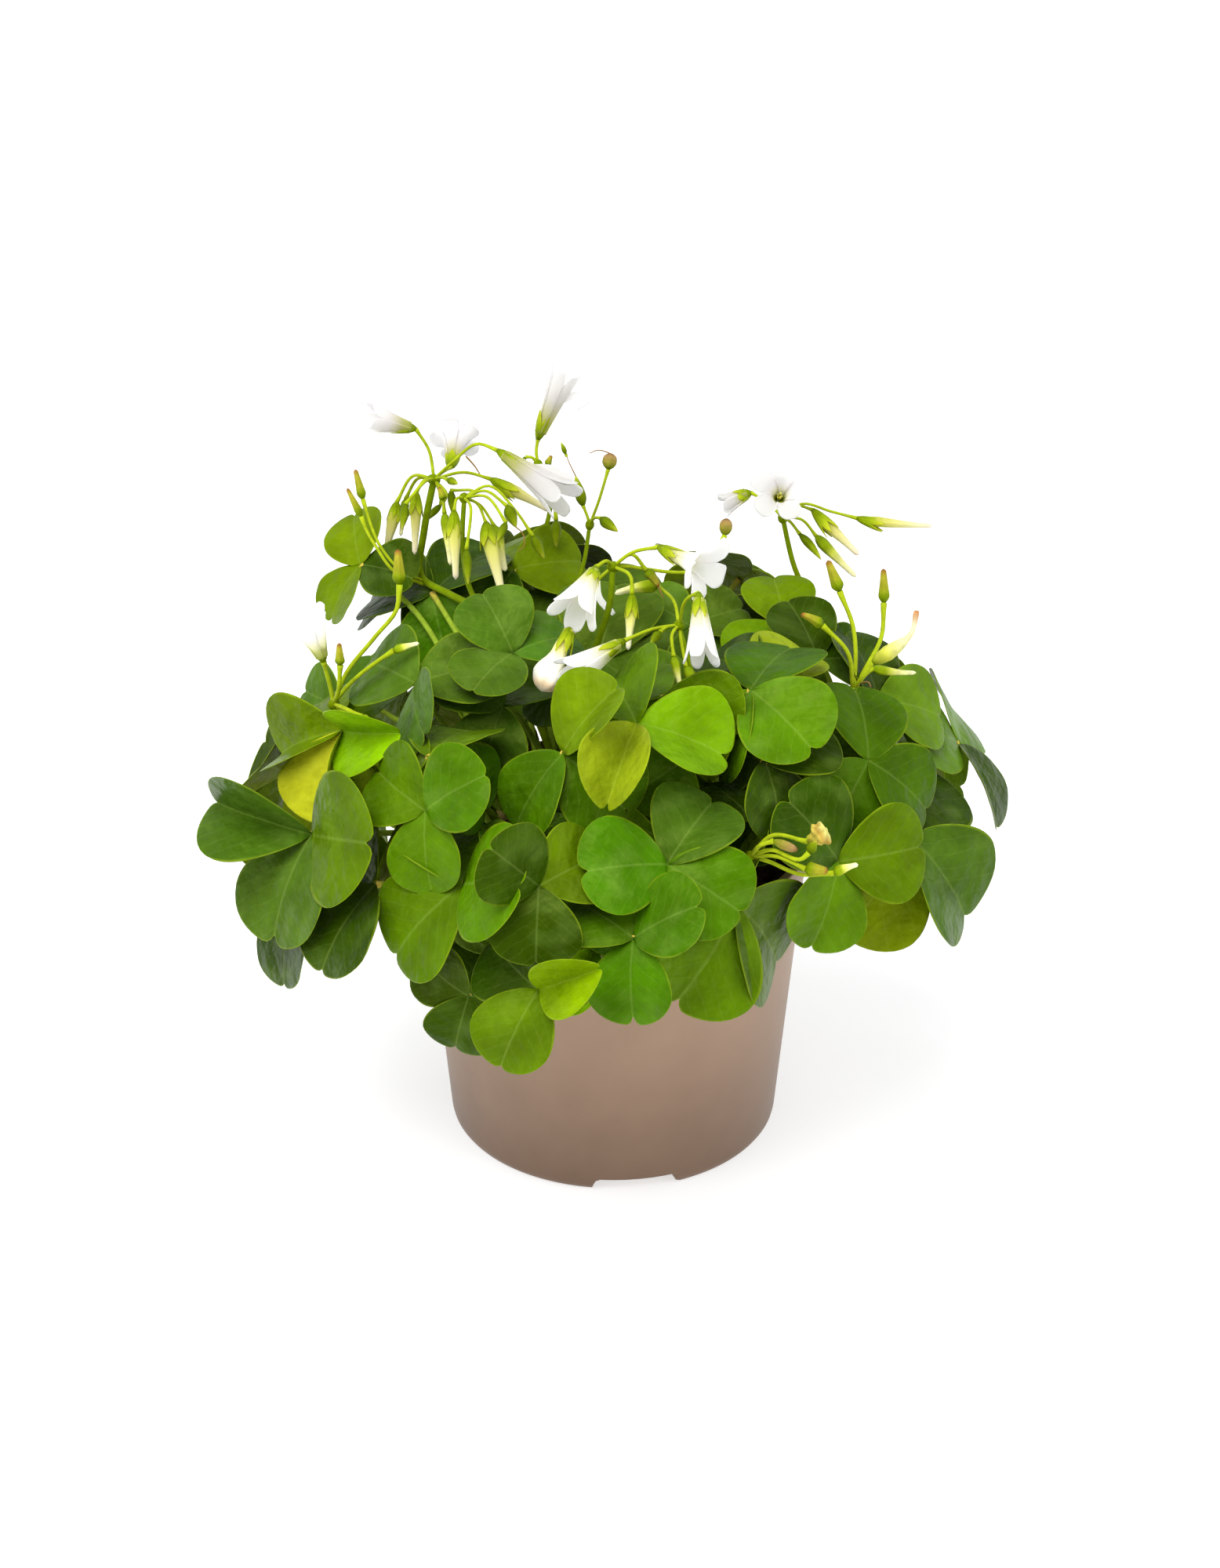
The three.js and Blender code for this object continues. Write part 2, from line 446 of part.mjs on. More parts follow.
// A whole leaf as one closed surface: three leaflets round the hub on a three-sided petiole.
function leafBody(leaf, route) {
  const { hub, normal, leaflets } = leaf;
  const first = flatPart(leaflets[0].way, normal);
  const turns = leaflets.map(({ way }) => turnTo(normal, first, way));
  turns[0] = 0;
  const corners = turns.map((turn, k) => {
    const before = k === 0 ? turns[2] - 2 * Math.PI : turns[k - 1];
    return first.clone().applyAxisAngle(normal, (turn + before) / 2);
  });
  const points = [hub.clone().addScaledVector(normal, BLADE.thickness / 2)];
  const index = [];
  const put = (point) => points.push(point) - 1;
  const rim = (side) => corners.map((corner) => put(hub.clone()
    .addScaledVector(corner, PETIOLE.radius).addScaledVector(normal, side * BLADE.thickness / 2)));
  const [upperCorners, lowerCorners] = [rim(1), rim(-1)];
  leaflets.forEach(({ way, length, normal: face }, k) => {
    const place = leafletFace(hub, way, length, face, BLADE.thickness);
    const next = (k + 1) % 3;
    const upper = [upperCorners[k], ...OUTLINE.map((spot) => put(place(spot, 1))), upperCorners[next]];
    const lower = [lowerCorners[k], ...OUTLINE.map((spot) => put(place(spot, -1))), lowerCorners[next]];
    const [upperMiddle, lowerMiddle] = [1, -1].map((side) => put(place([0, FAN_CENTRE], side)));
    for (let i = 0; i + 1 < upper.length; i += 1) {
      index.push(upperMiddle, upper[i], upper[i + 1], lowerMiddle, lower[i + 1], lower[i]);
      index.push(upper[i], lower[i], upper[i + 1], upper[i + 1], lower[i], lower[i + 1]);
    }
    index.push(upperMiddle, upper[upper.length - 1], 0, upperMiddle, 0, upper[0]);
    index.push(lowerMiddle, lower[0], lower[lower.length - 1]);
  });
  let ring = lowerCorners;
  const stations = route.getSpacedPoints(PETIOLE.steps);
  const down = normal.clone().negate();
  stations.slice(1).forEach((station, j) => {
    const tangent = route.getTangentAt((j + 1) / PETIOLE.steps);
    const turn = new THREE.Quaternion().setFromUnitVectors(down, tangent);
    const nextRing = corners.map((corner) => put(station.clone()
      .addScaledVector(corner.clone().applyQuaternion(turn), PETIOLE.radius)));
    for (let k = 0; k < 3; k += 1) {
      const other = (k + 1) % 3;
      index.push(ring[k], nextRing[k], ring[other], ring[other], nextRing[k], nextRing[other]);
    }
    ring = nextRing;
  });
  index.push(ring[0], ring[2], ring[1]);
  const geometry = new THREE.BufferGeometry().setFromPoints(points);
  geometry.setIndex(index);
  return toSolid(geometry);
}

const flatPart = (way, normal) => way.clone().addScaledVector(normal, -way.dot(normal)).normalize();

// Draws the leaflets' directions halfway toward even thirds of a turn about the leaf's normal.
function evened(ways, normal) {
  const first = flatPart(ways[0], normal);
  const turnOf = (way) => turnTo(normal, first, way);
  const sorted = [...ways].sort((a, b) => turnOf(a) * (a !== ways[0]) - turnOf(b) * (b !== ways[0]));
  const turns = sorted.map((way, k) => (k === 0 ? 0 : turnOf(way)));
  const third = 2 * Math.PI / 3;
  const fresh = turns.map((turn, k) => (1 - EVENING) * turn + EVENING * k * third);
  const shift = turns.reduce((sum, turn, k) => sum + turn - fresh[k], 0) / 3;
  return sorted.map((way, k) => way.clone().applyAxisAngle(normal, fresh[k] - turns[k] + shift));
}

// The leaf slid along its line, with a leaflet swung along the same line and rolled.
function settledLeaflet(leaf, distance, way, swing, roll) {
  const swung = way.clone().addScaledVector(leaf.slide, swing).normalize();
  const normal = flatPart(leaf.normal, swung).applyAxisAngle(swung, toRadians(roll));
  const hub = leaf.hub.clone().addScaledVector(leaf.slide, distance);
  return { hub, way: swung, length: leaf.length, normal };
}

// A facing leaf: a leaflet seen short is turned away from or toward the eye by what its
// length leaves over.
function facingLeaf([[across, up, sink], ...tips]) {
  const near = domeNear(across, up) - sink;
  const hub = seen(across, up, near);
  const outward = domeOutward(hub);
  const reaches = tips.map(([a, u]) => Math.hypot(a - across, u - up));
  const length = Math.max(...reaches, FACING.shortest);
  const tipPlaces = tips.map(([a, u], i) => {
    const lean = -(outward.x * (a - across) + outward.dot(UP) * (u - up)) / outward.dot(TOWARD);
    const depth = Math.sqrt(Math.max(length ** 2 - reaches[i] ** 2, 0));
    return seen(a, u, near + Math.sign(lean - FACING.levelLean) * depth);
  });
  const normal = tipPlaces[1].clone().sub(tipPlaces[0])
    .cross(tipPlaces[2].clone().sub(tipPlaces[0])).normalize();
  if (normal.dot(outward) < 0) normal.negate();
  normal.multiplyScalar(1 - FACING.outwardShare).addScaledVector(outward, FACING.outwardShare).normalize();
  const ways = evened(tipPlaces.map((tip) => tip.clone().sub(hub).normalize()), normal);
  return { hub, ways, length: length * (1 - near / SIGHT.range), normal, slide: TOWARD.clone() };
}

function seededLeaves() {
  const state = { value: SEEDED.seed };
  const golden = Math.PI * (3 - Math.sqrt(5));
  const leaves = [];
  for (let i = 0; i < SEEDED.spiral; i += 1) {
    const [height, spin, grow, bow, lean, leanWay] = [0, 0, 0, 0, 0, 0].map(() => random(state));
    const cosine = SEEDED.top - SEEDED.span * (i + 0.5) / SEEDED.spiral;
    const sine = Math.sqrt(1 - cosine ** 2);
    const depth = 1 - SEEDED.layerDepth * (i % SEEDED.layers) - SEEDED.depthRange * height;
    const hub = new THREE.Vector3(DOME.radius * depth * sine * Math.cos(i * golden),
      DOME.radius * depth * sine * Math.sin(i * golden), DOME.middle + DOME.rise * depth * cosine);
    if (hub.y > 0) hub.y *= SEEDED.backReach;
    const outward = domeOutward(hub);
    if (outward.dot(TOWARD) > SEEDED.facing) continue;
    const { across, up } = sightOf(hub);
    if (across < SEEDED.bareShoulder.across && up > SEEDED.bareShoulder.up) continue;
    const normal = outward.clone().addScaledVector(Z, SEEDED.upward).normalize();
    const side = new THREE.Vector3(-outward.y, outward.x, 0).normalize();
    normal.applyAxisAngle(side, toRadians(SEEDED.tilt * (lean * 2 - 1)));
    normal.applyAxisAngle(outward, 2 * Math.PI * leanWay);
    const first = side.clone().addScaledVector(normal, -side.dot(normal)).normalize()
      .applyAxisAngle(normal, 2 * Math.PI * spin);
    const droop = toRadians(between(SEEDED.droop, bow));
    const length = between(SEEDED.length, grow);
    const ways = [0, 1, 2].map((k) => first.clone().applyAxisAngle(normal, 2 * Math.PI * k / 3)
      .multiplyScalar(Math.cos(droop)).addScaledVector(normal, -Math.sin(droop)));
    leaves.push({ hub, ways, length, normal, slide: outward.clone() });
  }
  return leaves;
}

// ---- Clearing the way ----
const placed = []; // every solid so far: { solid, box, owner }

function claim(solid, owner) {
  placed.push({ solid, box: solid.boundingBox(), owner });
}

const apart = (a, b) => [0, 1, 2].some((k) => a.min[k] > b.max[k] || b.min[k] > a.max[k]);

function isClear(solid, test) {
  const box = solid.boundingBox();
  return !placed.some((other) => test(other.owner) && !apart(box, other.box)
    && !solid.intersect(other.solid).isEmpty());
}

const clearOfAllBut = (solid, owners) => isClear(solid, (owner) => !owners.includes(owner));

// ---- Placing the leaves, from the outermost inward ----
const stubName = (name) => `${name}_stub`;

function stubOf(hub, normal, extra) {
  const end = hub.clone().addScaledVector(normal, -PETIOLE.stub);
  const top = hub.clone().addScaledVector(normal, BLADE.thickness);
  return stemGauge([top, end], PETIOLE.radius + extra);
}

// The leaflet's first swing and roll that clear the other leaves and its own two fellows.
function fitLeaflet(leaf, name, distance, way, fellows) {
  for (const { swing, roll } of SWINGS_AND_ROLLS) {
    const leaflet = settledLeaflet(leaf, distance, way, swing, roll);
    const own = leafletGauge(leaflet, 0, BLADE.freeHeel);
    if (clearOfAllBut(leafletGauge(leaflet, 2 * FIT, BLADE.heel), [name])
      && fellows.every((other) => other.intersect(own).isEmpty())) {
      fellows.push(own);
      return leaflet;
    }
  }
  return null;
}

function fitLeaf(leaf, name) {
  for (const distance of SLIDES) {
    const hub = leaf.hub.clone().addScaledVector(leaf.slide, distance);
    if (!clearOfAllBut(stubOf(hub, leaf.normal, FIT), [name])) continue;
    const fellows = [];
    const leaflets = [];
    for (const way of leaf.ways) {
      const leaflet = fitLeaflet(leaf, name, distance, way, fellows);
      if (!leaflet) break;
      leaflets.push(leaflet);
    }
    if (leaflets.length === leaf.ways.length) return { name, hub, normal: leaf.normal, leaflets };
  }
  return null;
}

function placeLeaves() {
  const wanted = [...FACING_LEAVES.map(facingLeaf).reverse(), ...seededLeaves()];
  const leaves = [];
  for (const [number, leaf] of wanted.entries()) {
    const fitted = fitLeaf(leaf, `leaf_${number}`);
    if (!fitted) continue;
    fitted.leaflets.forEach((leaflet) => claim(leafletGauge(leaflet, 0, BLADE.heel), fitted.name));
    claim(stubOf(fitted.hub, fitted.normal, FIT), stubName(fitted.name));
    leaves.push(fitted);
  }
  return leaves;
}

// Pushes rising angles apart, round the whole turn, until they stand at least a gap apart.
function spreadAngles(angles, gap) {
  const spread = [...angles];
  for (let pass = 0; pass < SPREADING_PASSES; pass += 1) {
    spread.forEach((angle, i) => {
      const next = (i + 1) % spread.length;
      const room = spread[next] - angle + (next === 0 ? 2 * Math.PI : 0);
      const lacking = Math.max(gap - room, 0) / 2;
      spread[i] -= lacking;
      spread[next] += lacking;
    });
  }
  return spread;
}

// ---- Crowns: short rhizome tips that stand in holes in the soil, about three leaves to each ----
function makeCrowns(leaves) {
  const crowns = [];
  const distance = ({ hub }) => Math.hypot(hub.x, hub.y);
  const azimuth = ({ hub }) => Math.atan2(hub.y, hub.x);
  TIERS.forEach(({ reach, crowns: radius }, k) => {
    const least = k === 0 ? 0 : TIERS[k - 1].reach;
    const tier = leaves.filter((leaf) => distance(leaf) >= least && distance(leaf) < reach)
      .sort((a, b) => azimuth(a) - azimuth(b));
    const count = Math.max(1, Math.round(tier.length / LEAVES_PER_CROWN));
    const groups = Array.from({ length: count }, (_, i) => tier.slice(
      Math.round(i * tier.length / count), Math.round((i + 1) * tier.length / count)));
    const angles = spreadAngles(groups.map((members) => {
      const middle = members.reduce((sum, { hub }) => (
        sum.add(new THREE.Vector3(hub.x, hub.y, 0).normalize())), new THREE.Vector3());
      return Math.atan2(middle.y, middle.x);
    }), 2 * (CROWN.hole + ROOT.land) / radius);
    groups.forEach((members, i) => crowns.push({
      x: radius * Math.cos(angles[i]), y: radius * Math.sin(angles[i]), members, bodies: [],
    }));
  });
  crowns.forEach((crown, k) => {
    crown.name = `leaf_clump_${String(k + 1).padStart(2, '0')}`;
  });
  return crowns;
}

// The ways a petiole can run from its hub to its slot on a crown, the plainest first.
function petioleRoutes(leaf, crown) {
  const away = new THREE.Vector3(leaf.hub.x - crown.x, leaf.hub.y - crown.y, 0).normalize();
  const slot = away.clone().applyAxisAngle(Z, crown.bodies.length * 2 * Math.PI / MOST_PER_CROWN);
  const foot = new THREE.Vector3(crown.x, crown.y, SOIL_TOP + ROOT.above - PETIOLE.sunk)
    .addScaledVector(slot, CROWN.ring);
  const reach = leaf.hub.distanceTo(foot);
  const side = away.clone().cross(Z);
  const tangent = flatPart(Z, leaf.normal);
  const routes = [];
  for (const [lean, turn] of LEANS) {
    const approach = leaf.normal.clone().multiplyScalar(-Math.cos(toRadians(lean)))
      .addScaledVector(tangent.clone().applyAxisAngle(leaf.normal, toRadians(turn)),
        Math.sin(toRadians(lean)));
    for (const [rise, bow, hang] of everyChoice(RISES, BOWS, HANGS)) {
      const beneath = leaf.hub.clone().addScaledVector(approach, reach * hang);
      const above = foot.clone().addScaledVector(Z, reach * rise)
        .addScaledVector(side, reach * bow).addScaledVector(away, reach * OUTWARD_AT_FOOT);
      routes.push({
        cost: toRadians(lean) * COST.lean + Math.abs(bow) * COST.bow
          + Math.abs(rise - RISES[0]) + Math.abs(hang - HANGS[0]),
        curve: new THREE.CubicBezierCurve3(leaf.hub, beneath, above, foot),
      });
    }
  }
  return routes.sort((a, b) => a.cost - b.cost);
}

function petioleGauge(curve, extra, afterHub) {
  const points = curve.getSpacedPoints(PETIOLE.steps);
  if (afterHub) points[0].lerp(points[1], PETIOLE.clearTop);
  return stemGauge(points, PETIOLE.radius + extra);
}

// Each leaf takes its own crown, or a neighbouring one where its petiole can't get through.
function growPetioles(leaves, crowns) {
  for (const leaf of [...leaves].sort((a, b) => a.hub.z - b.hub.z)) {
    const home = crowns.find((crown) => crown.members.includes(leaf));
    const nearness = (crown) => Math.hypot(crown.x - home.x, crown.y - home.y);
    const nearest = [...crowns].sort((a, b) => nearness(a) - nearness(b)).slice(0, CROWNS_TRIED);
    for (const crown of nearest) {
      if (crown.bodies.length >= MOST_PER_CROWN) continue;
      const own = [crown.name, 'soil', leaf.name, stubName(leaf.name)];
      const route = petioleRoutes(leaf, crown).find(({ curve }) => (
        clearOfAllBut(petioleGauge(curve, FIT, false), own)
        && isClear(petioleGauge(curve, 0, true), (owner) => owner === leaf.name)));
      if (route) {
        claim(petioleGauge(route.curve, 0, false), crown.name);
        crown.bodies.push(leafBody(leaf, route.curve));
        break;
      }
    }
  }
}

// ---- Umbels ----
const FOOT_SEARCH = { steps: 8, turns: 12, stride: 1.5 };
// Profiles as [share of radius, share of length].
const CALYX = [[0, 0], [1, 0.6], [0.75, 1], [0, 1]];
const BUD = [[0, 0], [0.95, 0.3], [0.75, 0.75], [0, 1]];
const CLOSED_FLOWER = [[0, 0], [0.8, 0], [1, 0.25], [0.55, 0.9], [0, 1]];
const WILTING_FLOWER = [[0, 0], [0.4, 0], [0.5, 0.35], [1, 0.7], [0, 1]];

function lathed(profile, radius, start, end) {
  const direction = end.clone().sub(start);
  const length = direction.length();
  const scaled = profile.map(([r, z]) => [r * radius, z * length]);
  return toSolid(aimed(turned(scaled, 4), start, direction));
}

// An open flower: a funnel of five joined petals, hollow down to its throat.
function openFlower(start, mouth, radius) {
  const direction = mouth.clone().sub(start);
  const length = direction.length();
  const spokes = 2 * PETAL.petals;
  const rings = [
    { radius: PETAL.throat, height: 0, sinus: 0 },
    { radius: PETAL.neck, height: length * PETAL.neckHeight, sinus: 0 },
    { radius, height: length, sinus: PETAL.sinus },
    { radius: radius - PETAL.wall * PETAL.rimTaper, height: length + PETAL.wall, sinus: PETAL.sinus },
  ];
  const points = rings.flatMap((ring) => Array.from({ length: spokes }, (_, i) => {
    const angle = 2 * Math.PI * i / spokes;
    const notch = i % 2 ? ring.sinus : 0;
    const reach = ring.radius * (1 - notch);
    return new THREE.Vector3(reach * Math.cos(angle), reach * Math.sin(angle),
      ring.height - length * notch * PETAL.sinusDrop);
  }));
  points.push(new THREE.Vector3(0, 0, 0), new THREE.Vector3(0, 0, length * PETAL.throatHeight));
  const [base, throat] = [points.length - 2, points.length - 1];
  const last = (rings.length - 1) * spokes;
  const index = [];
  for (let i = 0; i < spokes; i += 1) {
    const next = (i + 1) % spokes;
    index.push(base, next, i, last + i, last + next, throat);
    for (let low = 0; low < last; low += spokes) {
      const high = low + spokes;
      index.push(low + i, low + next, high + i, high + i, low + next, high + next);
    }
  }
  const geometry = new THREE.BufferGeometry().setFromPoints(points);
  geometry.setIndex(index);
  return toSolid(aimed(geometry, start, direction));
}

// The free spot of the soil nearest to where a stalk would like to stand.
function freeFoot([x, y], taken) {
  for (let step = 0; step < FOOT_SEARCH.steps; step += 1) {
    for (let turn = 0; turn < FOOT_SEARCH.turns; turn += 1) {
      const angle = turn * 2 * Math.PI / FOOT_SEARCH.turns;
      const reach = step * FOOT_SEARCH.stride;
      const foot = [x + reach * Math.cos(angle), y + reach * Math.sin(angle)];
      if (taken.every((hole) => Math.hypot(hole.x - foot[0], hole.y - foot[1])
        > hole.radius + STALK.hole + 2 * ROOT.land)) return foot;
    }
  }
  return [x, y];
}

// The ways an umbel's stalk can run from where it enters the foliage to its hole in the soil.
function stalkRoutes({ stalk, near, foot: [x, y] }) {
  const visible = stalk.map(([across, up, nearer]) => seen(across, up, near + nearer));
  const entry = visible[visible.length - 1];
  const foot = new THREE.Vector3(x, y, SOIL_TOP + ROOT.above - STALK.sunk);
  const top = foot.clone().addScaledVector(Z, STALK.upright);
  const reach = entry.distanceTo(top);
  const away = new THREE.Vector3(entry.x - top.x, entry.y - top.y, 0).normalize();
  const side = away.clone().cross(Z);
  const routes = [];
  for (const [lowBow, highBow, push, rise] of everyChoice(BOWS, BOWS, PUSHES, RISES)) {
    const low = top.clone().addScaledVector(Z, reach * STALK_PATH.lowHeight)
      .addScaledVector(side, lowBow * reach).addScaledVector(away, (push + OUTWARD_AT_FOOT) * reach);
    const high = entry.clone().lerp(top, STALK_PATH.highShare)
      .addScaledVector(side, highBow * reach).addScaledVector(away, push * reach)
      .addScaledVector(Z, (rise - RISES[0]) * reach * STALK_PATH.riseShare);
    routes.push({
      cost: Math.abs(lowBow) + Math.abs(highBow) + Math.abs(push) + Math.abs(rise - RISES[0]),
      points: [...visible, high, low, top, foot],
    });
  }
  return routes.sort((a, b) => a.cost - b.cost);
}

// The green parts of an umbel above its stalk, and its white flowers.
function makeHeads({ stalk, near, heads }) {
  const [across, up] = stalk[0];
  const hub = seen(across, up, near);
  const green = [toSolid(new THREE.IcosahedronGeometry(KNOB, 0).translate(hub.x, hub.y, hub.z))];
  const flowers = [];
  for (const [kind, size, ...rows] of heads) {
    const points = rows.map(([a, u, nearer]) => seen(a, u, near + nearer));
    const tip = points.pop();
    const calyxEnd = kind === 'bud' ? tip : points.pop();
    const neck = points[points.length - 1];
    const sunk = neck.clone().lerp(calyxEnd, -HEAD.seatedOnPedicel);
    const start = hub.clone().addScaledVector(
      points[0].clone().sub(hub).normalize(), KNOB * HEAD.seatedInKnob);
    green.push(tube([start, ...points], PEDICEL.radius, 3, PEDICEL.steps));
    if (kind === 'bud') green.push(lathed(BUD, size, sunk, tip));
    else green.push(lathed(CALYX, HEAD.calyxRadius, sunk, calyxEnd));
    const seat = calyxEnd.clone().addScaledVector(tip.clone().sub(calyxEnd).normalize(), 2 * FIT);
    if (kind === 'open') flowers.push(openFlower(seat, tip, size));
    if (kind === 'tube') flowers.push(lathed(CLOSED_FLOWER, size, seat, tip));
    if (kind === 'wilting') flowers.push(lathed(WILTING_FLOWER, size, seat, tip));
  }
  return { green, flowers };
}

// ---- The plant: flower heads first, then the leaves round them, then stalks and petioles ----
const plant = new THREE.Group();

function addPart(name, solid, look) {
  const [color, roughness] = COLOURS[look];
  const material = new THREE.MeshStandardMaterial({ color, roughness, metalness: 0 });
  const mesh = new THREE.Mesh(toGeometry(solid), material);
  mesh.name = name;
  plant.add(mesh);
}

const pot = makePot();
claim(pot, 'pot');
claim(makeSoil([]), 'soil');

const umbels = UMBELS.map((umbel) => ({ ...umbel, label: `umbel_${umbel.name}`, ...makeHeads(umbel) }));
for (const umbel of umbels) {
  const visible = umbel.stalk.map(([across, up, nearer]) => seen(across, up, umbel.near + nearer));
  claim(tube(visible, STALK.radius, 3, 4), umbel.label);
  umbel.green.forEach((solid) => claim(solid, umbel.label));
  umbel.flowers.forEach((solid) => claim(solid, `${umbel.label}_flowers`));
}

const leaves = placeLeaves();

const crowns = makeCrowns(leaves);
const holes = crowns.map(({ x, y }) => ({ x, y, radius: CROWN.hole }));
for (const umbel of umbels) {
  umbel.foot = freeFoot(umbel.foot, holes);
  holes.push({ x: umbel.foot[0], y: umbel.foot[1], radius: STALK.hole });
  const routes = stalkRoutes(umbel).map(({ points }) => points);
  const points = routes.find((path) => (
    clearOfAllBut(tube(path, STALK.radius + 2 * FIT, 3, STALK.steps), [umbel.label, 'soil']))) ?? routes[0];
  const stalk = tube(points, STALK.radius, 3, STALK.steps);
  claim(stalk, umbel.label);
  const root = rootAt(...umbel.foot, STALK.root);
  addPart(umbel.label, join([root, stalk, ...umbel.green]), 'stalk');
  umbel.flowers.forEach((flower, k) => addPart(`flower_${umbel.name}${k + 1}`, flower, 'petal'));
}

growPetioles(leaves, crowns);
for (const crown of crowns.filter(({ bodies }) => bodies.length > 0)) {
  addPart(crown.name, join([rootAt(crown.x, crown.y, CROWN.radius), ...crown.bodies]), 'leaf');
}

addPart('potting_soil', makeSoil(holes), 'soil');
addPart('nursery_pot', pot, 'pot');

export default plant;
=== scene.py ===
"""A green-leaved shamrock (Oxalis) in flower, in a 12 cm plastic nursery pot.

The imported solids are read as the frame. Each finer piece keeps the place and form of the
solid that it stands for. Sizes are worked out in millimetres and put into metres at the end.
"""

import math

import bmesh
import bpy
import numpy as np
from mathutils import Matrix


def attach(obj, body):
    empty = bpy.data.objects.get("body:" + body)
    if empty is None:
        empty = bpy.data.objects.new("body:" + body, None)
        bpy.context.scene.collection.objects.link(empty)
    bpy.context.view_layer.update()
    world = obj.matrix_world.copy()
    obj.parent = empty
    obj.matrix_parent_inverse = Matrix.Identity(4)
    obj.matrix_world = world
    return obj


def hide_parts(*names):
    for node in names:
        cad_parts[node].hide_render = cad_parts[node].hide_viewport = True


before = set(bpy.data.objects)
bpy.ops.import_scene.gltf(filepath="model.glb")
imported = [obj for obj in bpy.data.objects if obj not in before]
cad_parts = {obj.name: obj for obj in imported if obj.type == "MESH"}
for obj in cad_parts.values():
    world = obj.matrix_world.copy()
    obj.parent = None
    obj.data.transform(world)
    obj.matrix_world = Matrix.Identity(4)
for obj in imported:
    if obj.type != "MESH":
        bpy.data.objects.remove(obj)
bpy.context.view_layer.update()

# ---- Camera ----
# A person sees the plant from the front, 28 degrees above the level and at arm's length and
# a bit more, through a lens of about 85 mm.
MM = 0.001
SIGHT_MIDDLE = np.array([-1.0, 0.0, 112.4])
SIGHT_ELEVATION = math.radians(28.45)
SIGHT_RANGE = 1100.0
SENSOR_HEIGHT = 36.0
LENS_LENGTH = 84.64
ACROSS = np.array([1.0, 0.0, 0.0])
UP = np.array([0.0, math.sin(SIGHT_ELEVATION), math.cos(SIGHT_ELEVATION)])
TOWARD = np.array([0.0, -math.cos(SIGHT_ELEVATION), math.sin(SIGHT_ELEVATION)])

lens = bpy.data.cameras.new("camera")
lens.sensor_fit = "VERTICAL"
lens.sensor_height = SENSOR_HEIGHT
lens.lens = LENS_LENGTH
camera = bpy.data.objects.new("camera", lens)
camera.location = (SIGHT_MIDDLE + SIGHT_RANGE * TOWARD) * MM
camera.rotation_euler = (math.pi / 2 - SIGHT_ELEVATION, 0, 0)
bpy.context.scene.collection.objects.link(camera)
bpy.context.scene.camera = camera

# ---- Floor and light ----
# An opal sheet, lit from below, under soft boxes: a wide one above, a weak one at either side,
# and a pale room all round.
FLOOR_SIZE = 8.0
FLOOR_COLOUR = "c8c8c8"
FLOOR_GLOW = 0.62
ROOM_COLOUR = "f6f8fb"
ROOM_STRENGTH = 0.62
LIGHT_AIM = np.array([0, 0, 0.11])  # the foot of the leaves, in metres
# name: place in metres, width in metres, watts
SOFT_BOXES = {
    "soft_box_above": ((-0.35, -0.55, 1.5), 1.1, 26),
    "soft_box_right": ((1.2, -0.7, 0.7), 0.9, 7),
    "soft_box_left": ((-1.2, -0.7, 0.7), 0.9, 5),
}


def linear(colour, alpha=1.0):
    """An sRGB hex colour as linear red, green, blue and alpha."""
    share = np.array([int(colour[k:k + 2], 16) / 255 for k in (0, 2, 4)])
    light = np.where(share <= 0.04045, share / 12.92, ((share + 0.055) / 1.055) ** 2.4)
    return (*light.tolist(), alpha)


def add_node(tree, kind, inputs=(), **settings):
    """Adds a shader node, gives its settings, and sets or links its inputs."""
    fresh = tree.nodes.new("ShaderNode" + kind)
    for key, value in settings.items():
        setattr(fresh, key, value)
    for key, value in dict(inputs).items():
        if isinstance(value, bpy.types.NodeSocket):
            tree.links.new(value, fresh.inputs[key])
        else:
            fresh.inputs[key].default_value = value
    return fresh


def new_material(name, **shader):
    """A material with a Principled shader, whose inputs are given by name with _ for a space."""
    material = bpy.data.materials.new(name)
    material.use_nodes = True
    surface = material.node_tree.nodes["Principled BSDF"]
    for key, value in shader.items():
        surface.inputs[key.replace("_", " ")].default_value = value
    return material, material.node_tree, surface


floor_mesh = bpy.data.meshes.new("floor")
reach = FLOOR_SIZE / 2
floor_mesh.from_pydata([(-reach, -reach, 0), (reach, -reach, 0), (reach, reach, 0), (-reach, reach, 0)],
                       [], [(0, 1, 2, 3)])
floor = bpy.data.objects.new("floor", floor_mesh)
bpy.context.scene.collection.objects.link(floor)
# The sheet is matt and glows from below, so the shadows on it stay faint.
acrylic, _, _ = new_material("opal acrylic sheet", Base_Color=linear(FLOOR_COLOUR), Roughness=0.9,
                             Emission_Color=linear("ffffff"), Emission_Strength=FLOOR_GLOW)
floor_mesh.materials.append(acrylic)

for label, (place, width, watts) in SOFT_BOXES.items():
    lamp = bpy.data.lights.new(label, "AREA")
    lamp.size = width
    lamp.energy = watts
    holder = bpy.data.objects.new(label, lamp)
    holder.location = place
    aim = LIGHT_AIM - np.array(place)
    holder.rotation_euler = (math.atan2(math.hypot(aim[0], aim[1]), -aim[2]), 0,
                             math.atan2(aim[1], aim[0]) - math.pi / 2)
    bpy.context.scene.collection.objects.link(holder)

room = bpy.data.worlds.new("pale room")
room.use_nodes = True
backdrop = room.node_tree.nodes["Background"]
backdrop.inputs["Color"].default_value = linear(ROOM_COLOUR)
backdrop.inputs["Strength"].default_value = ROOM_STRENGTH
bpy.context.scene.world = room
bpy.context.scene.view_settings.view_transform = "Standard"

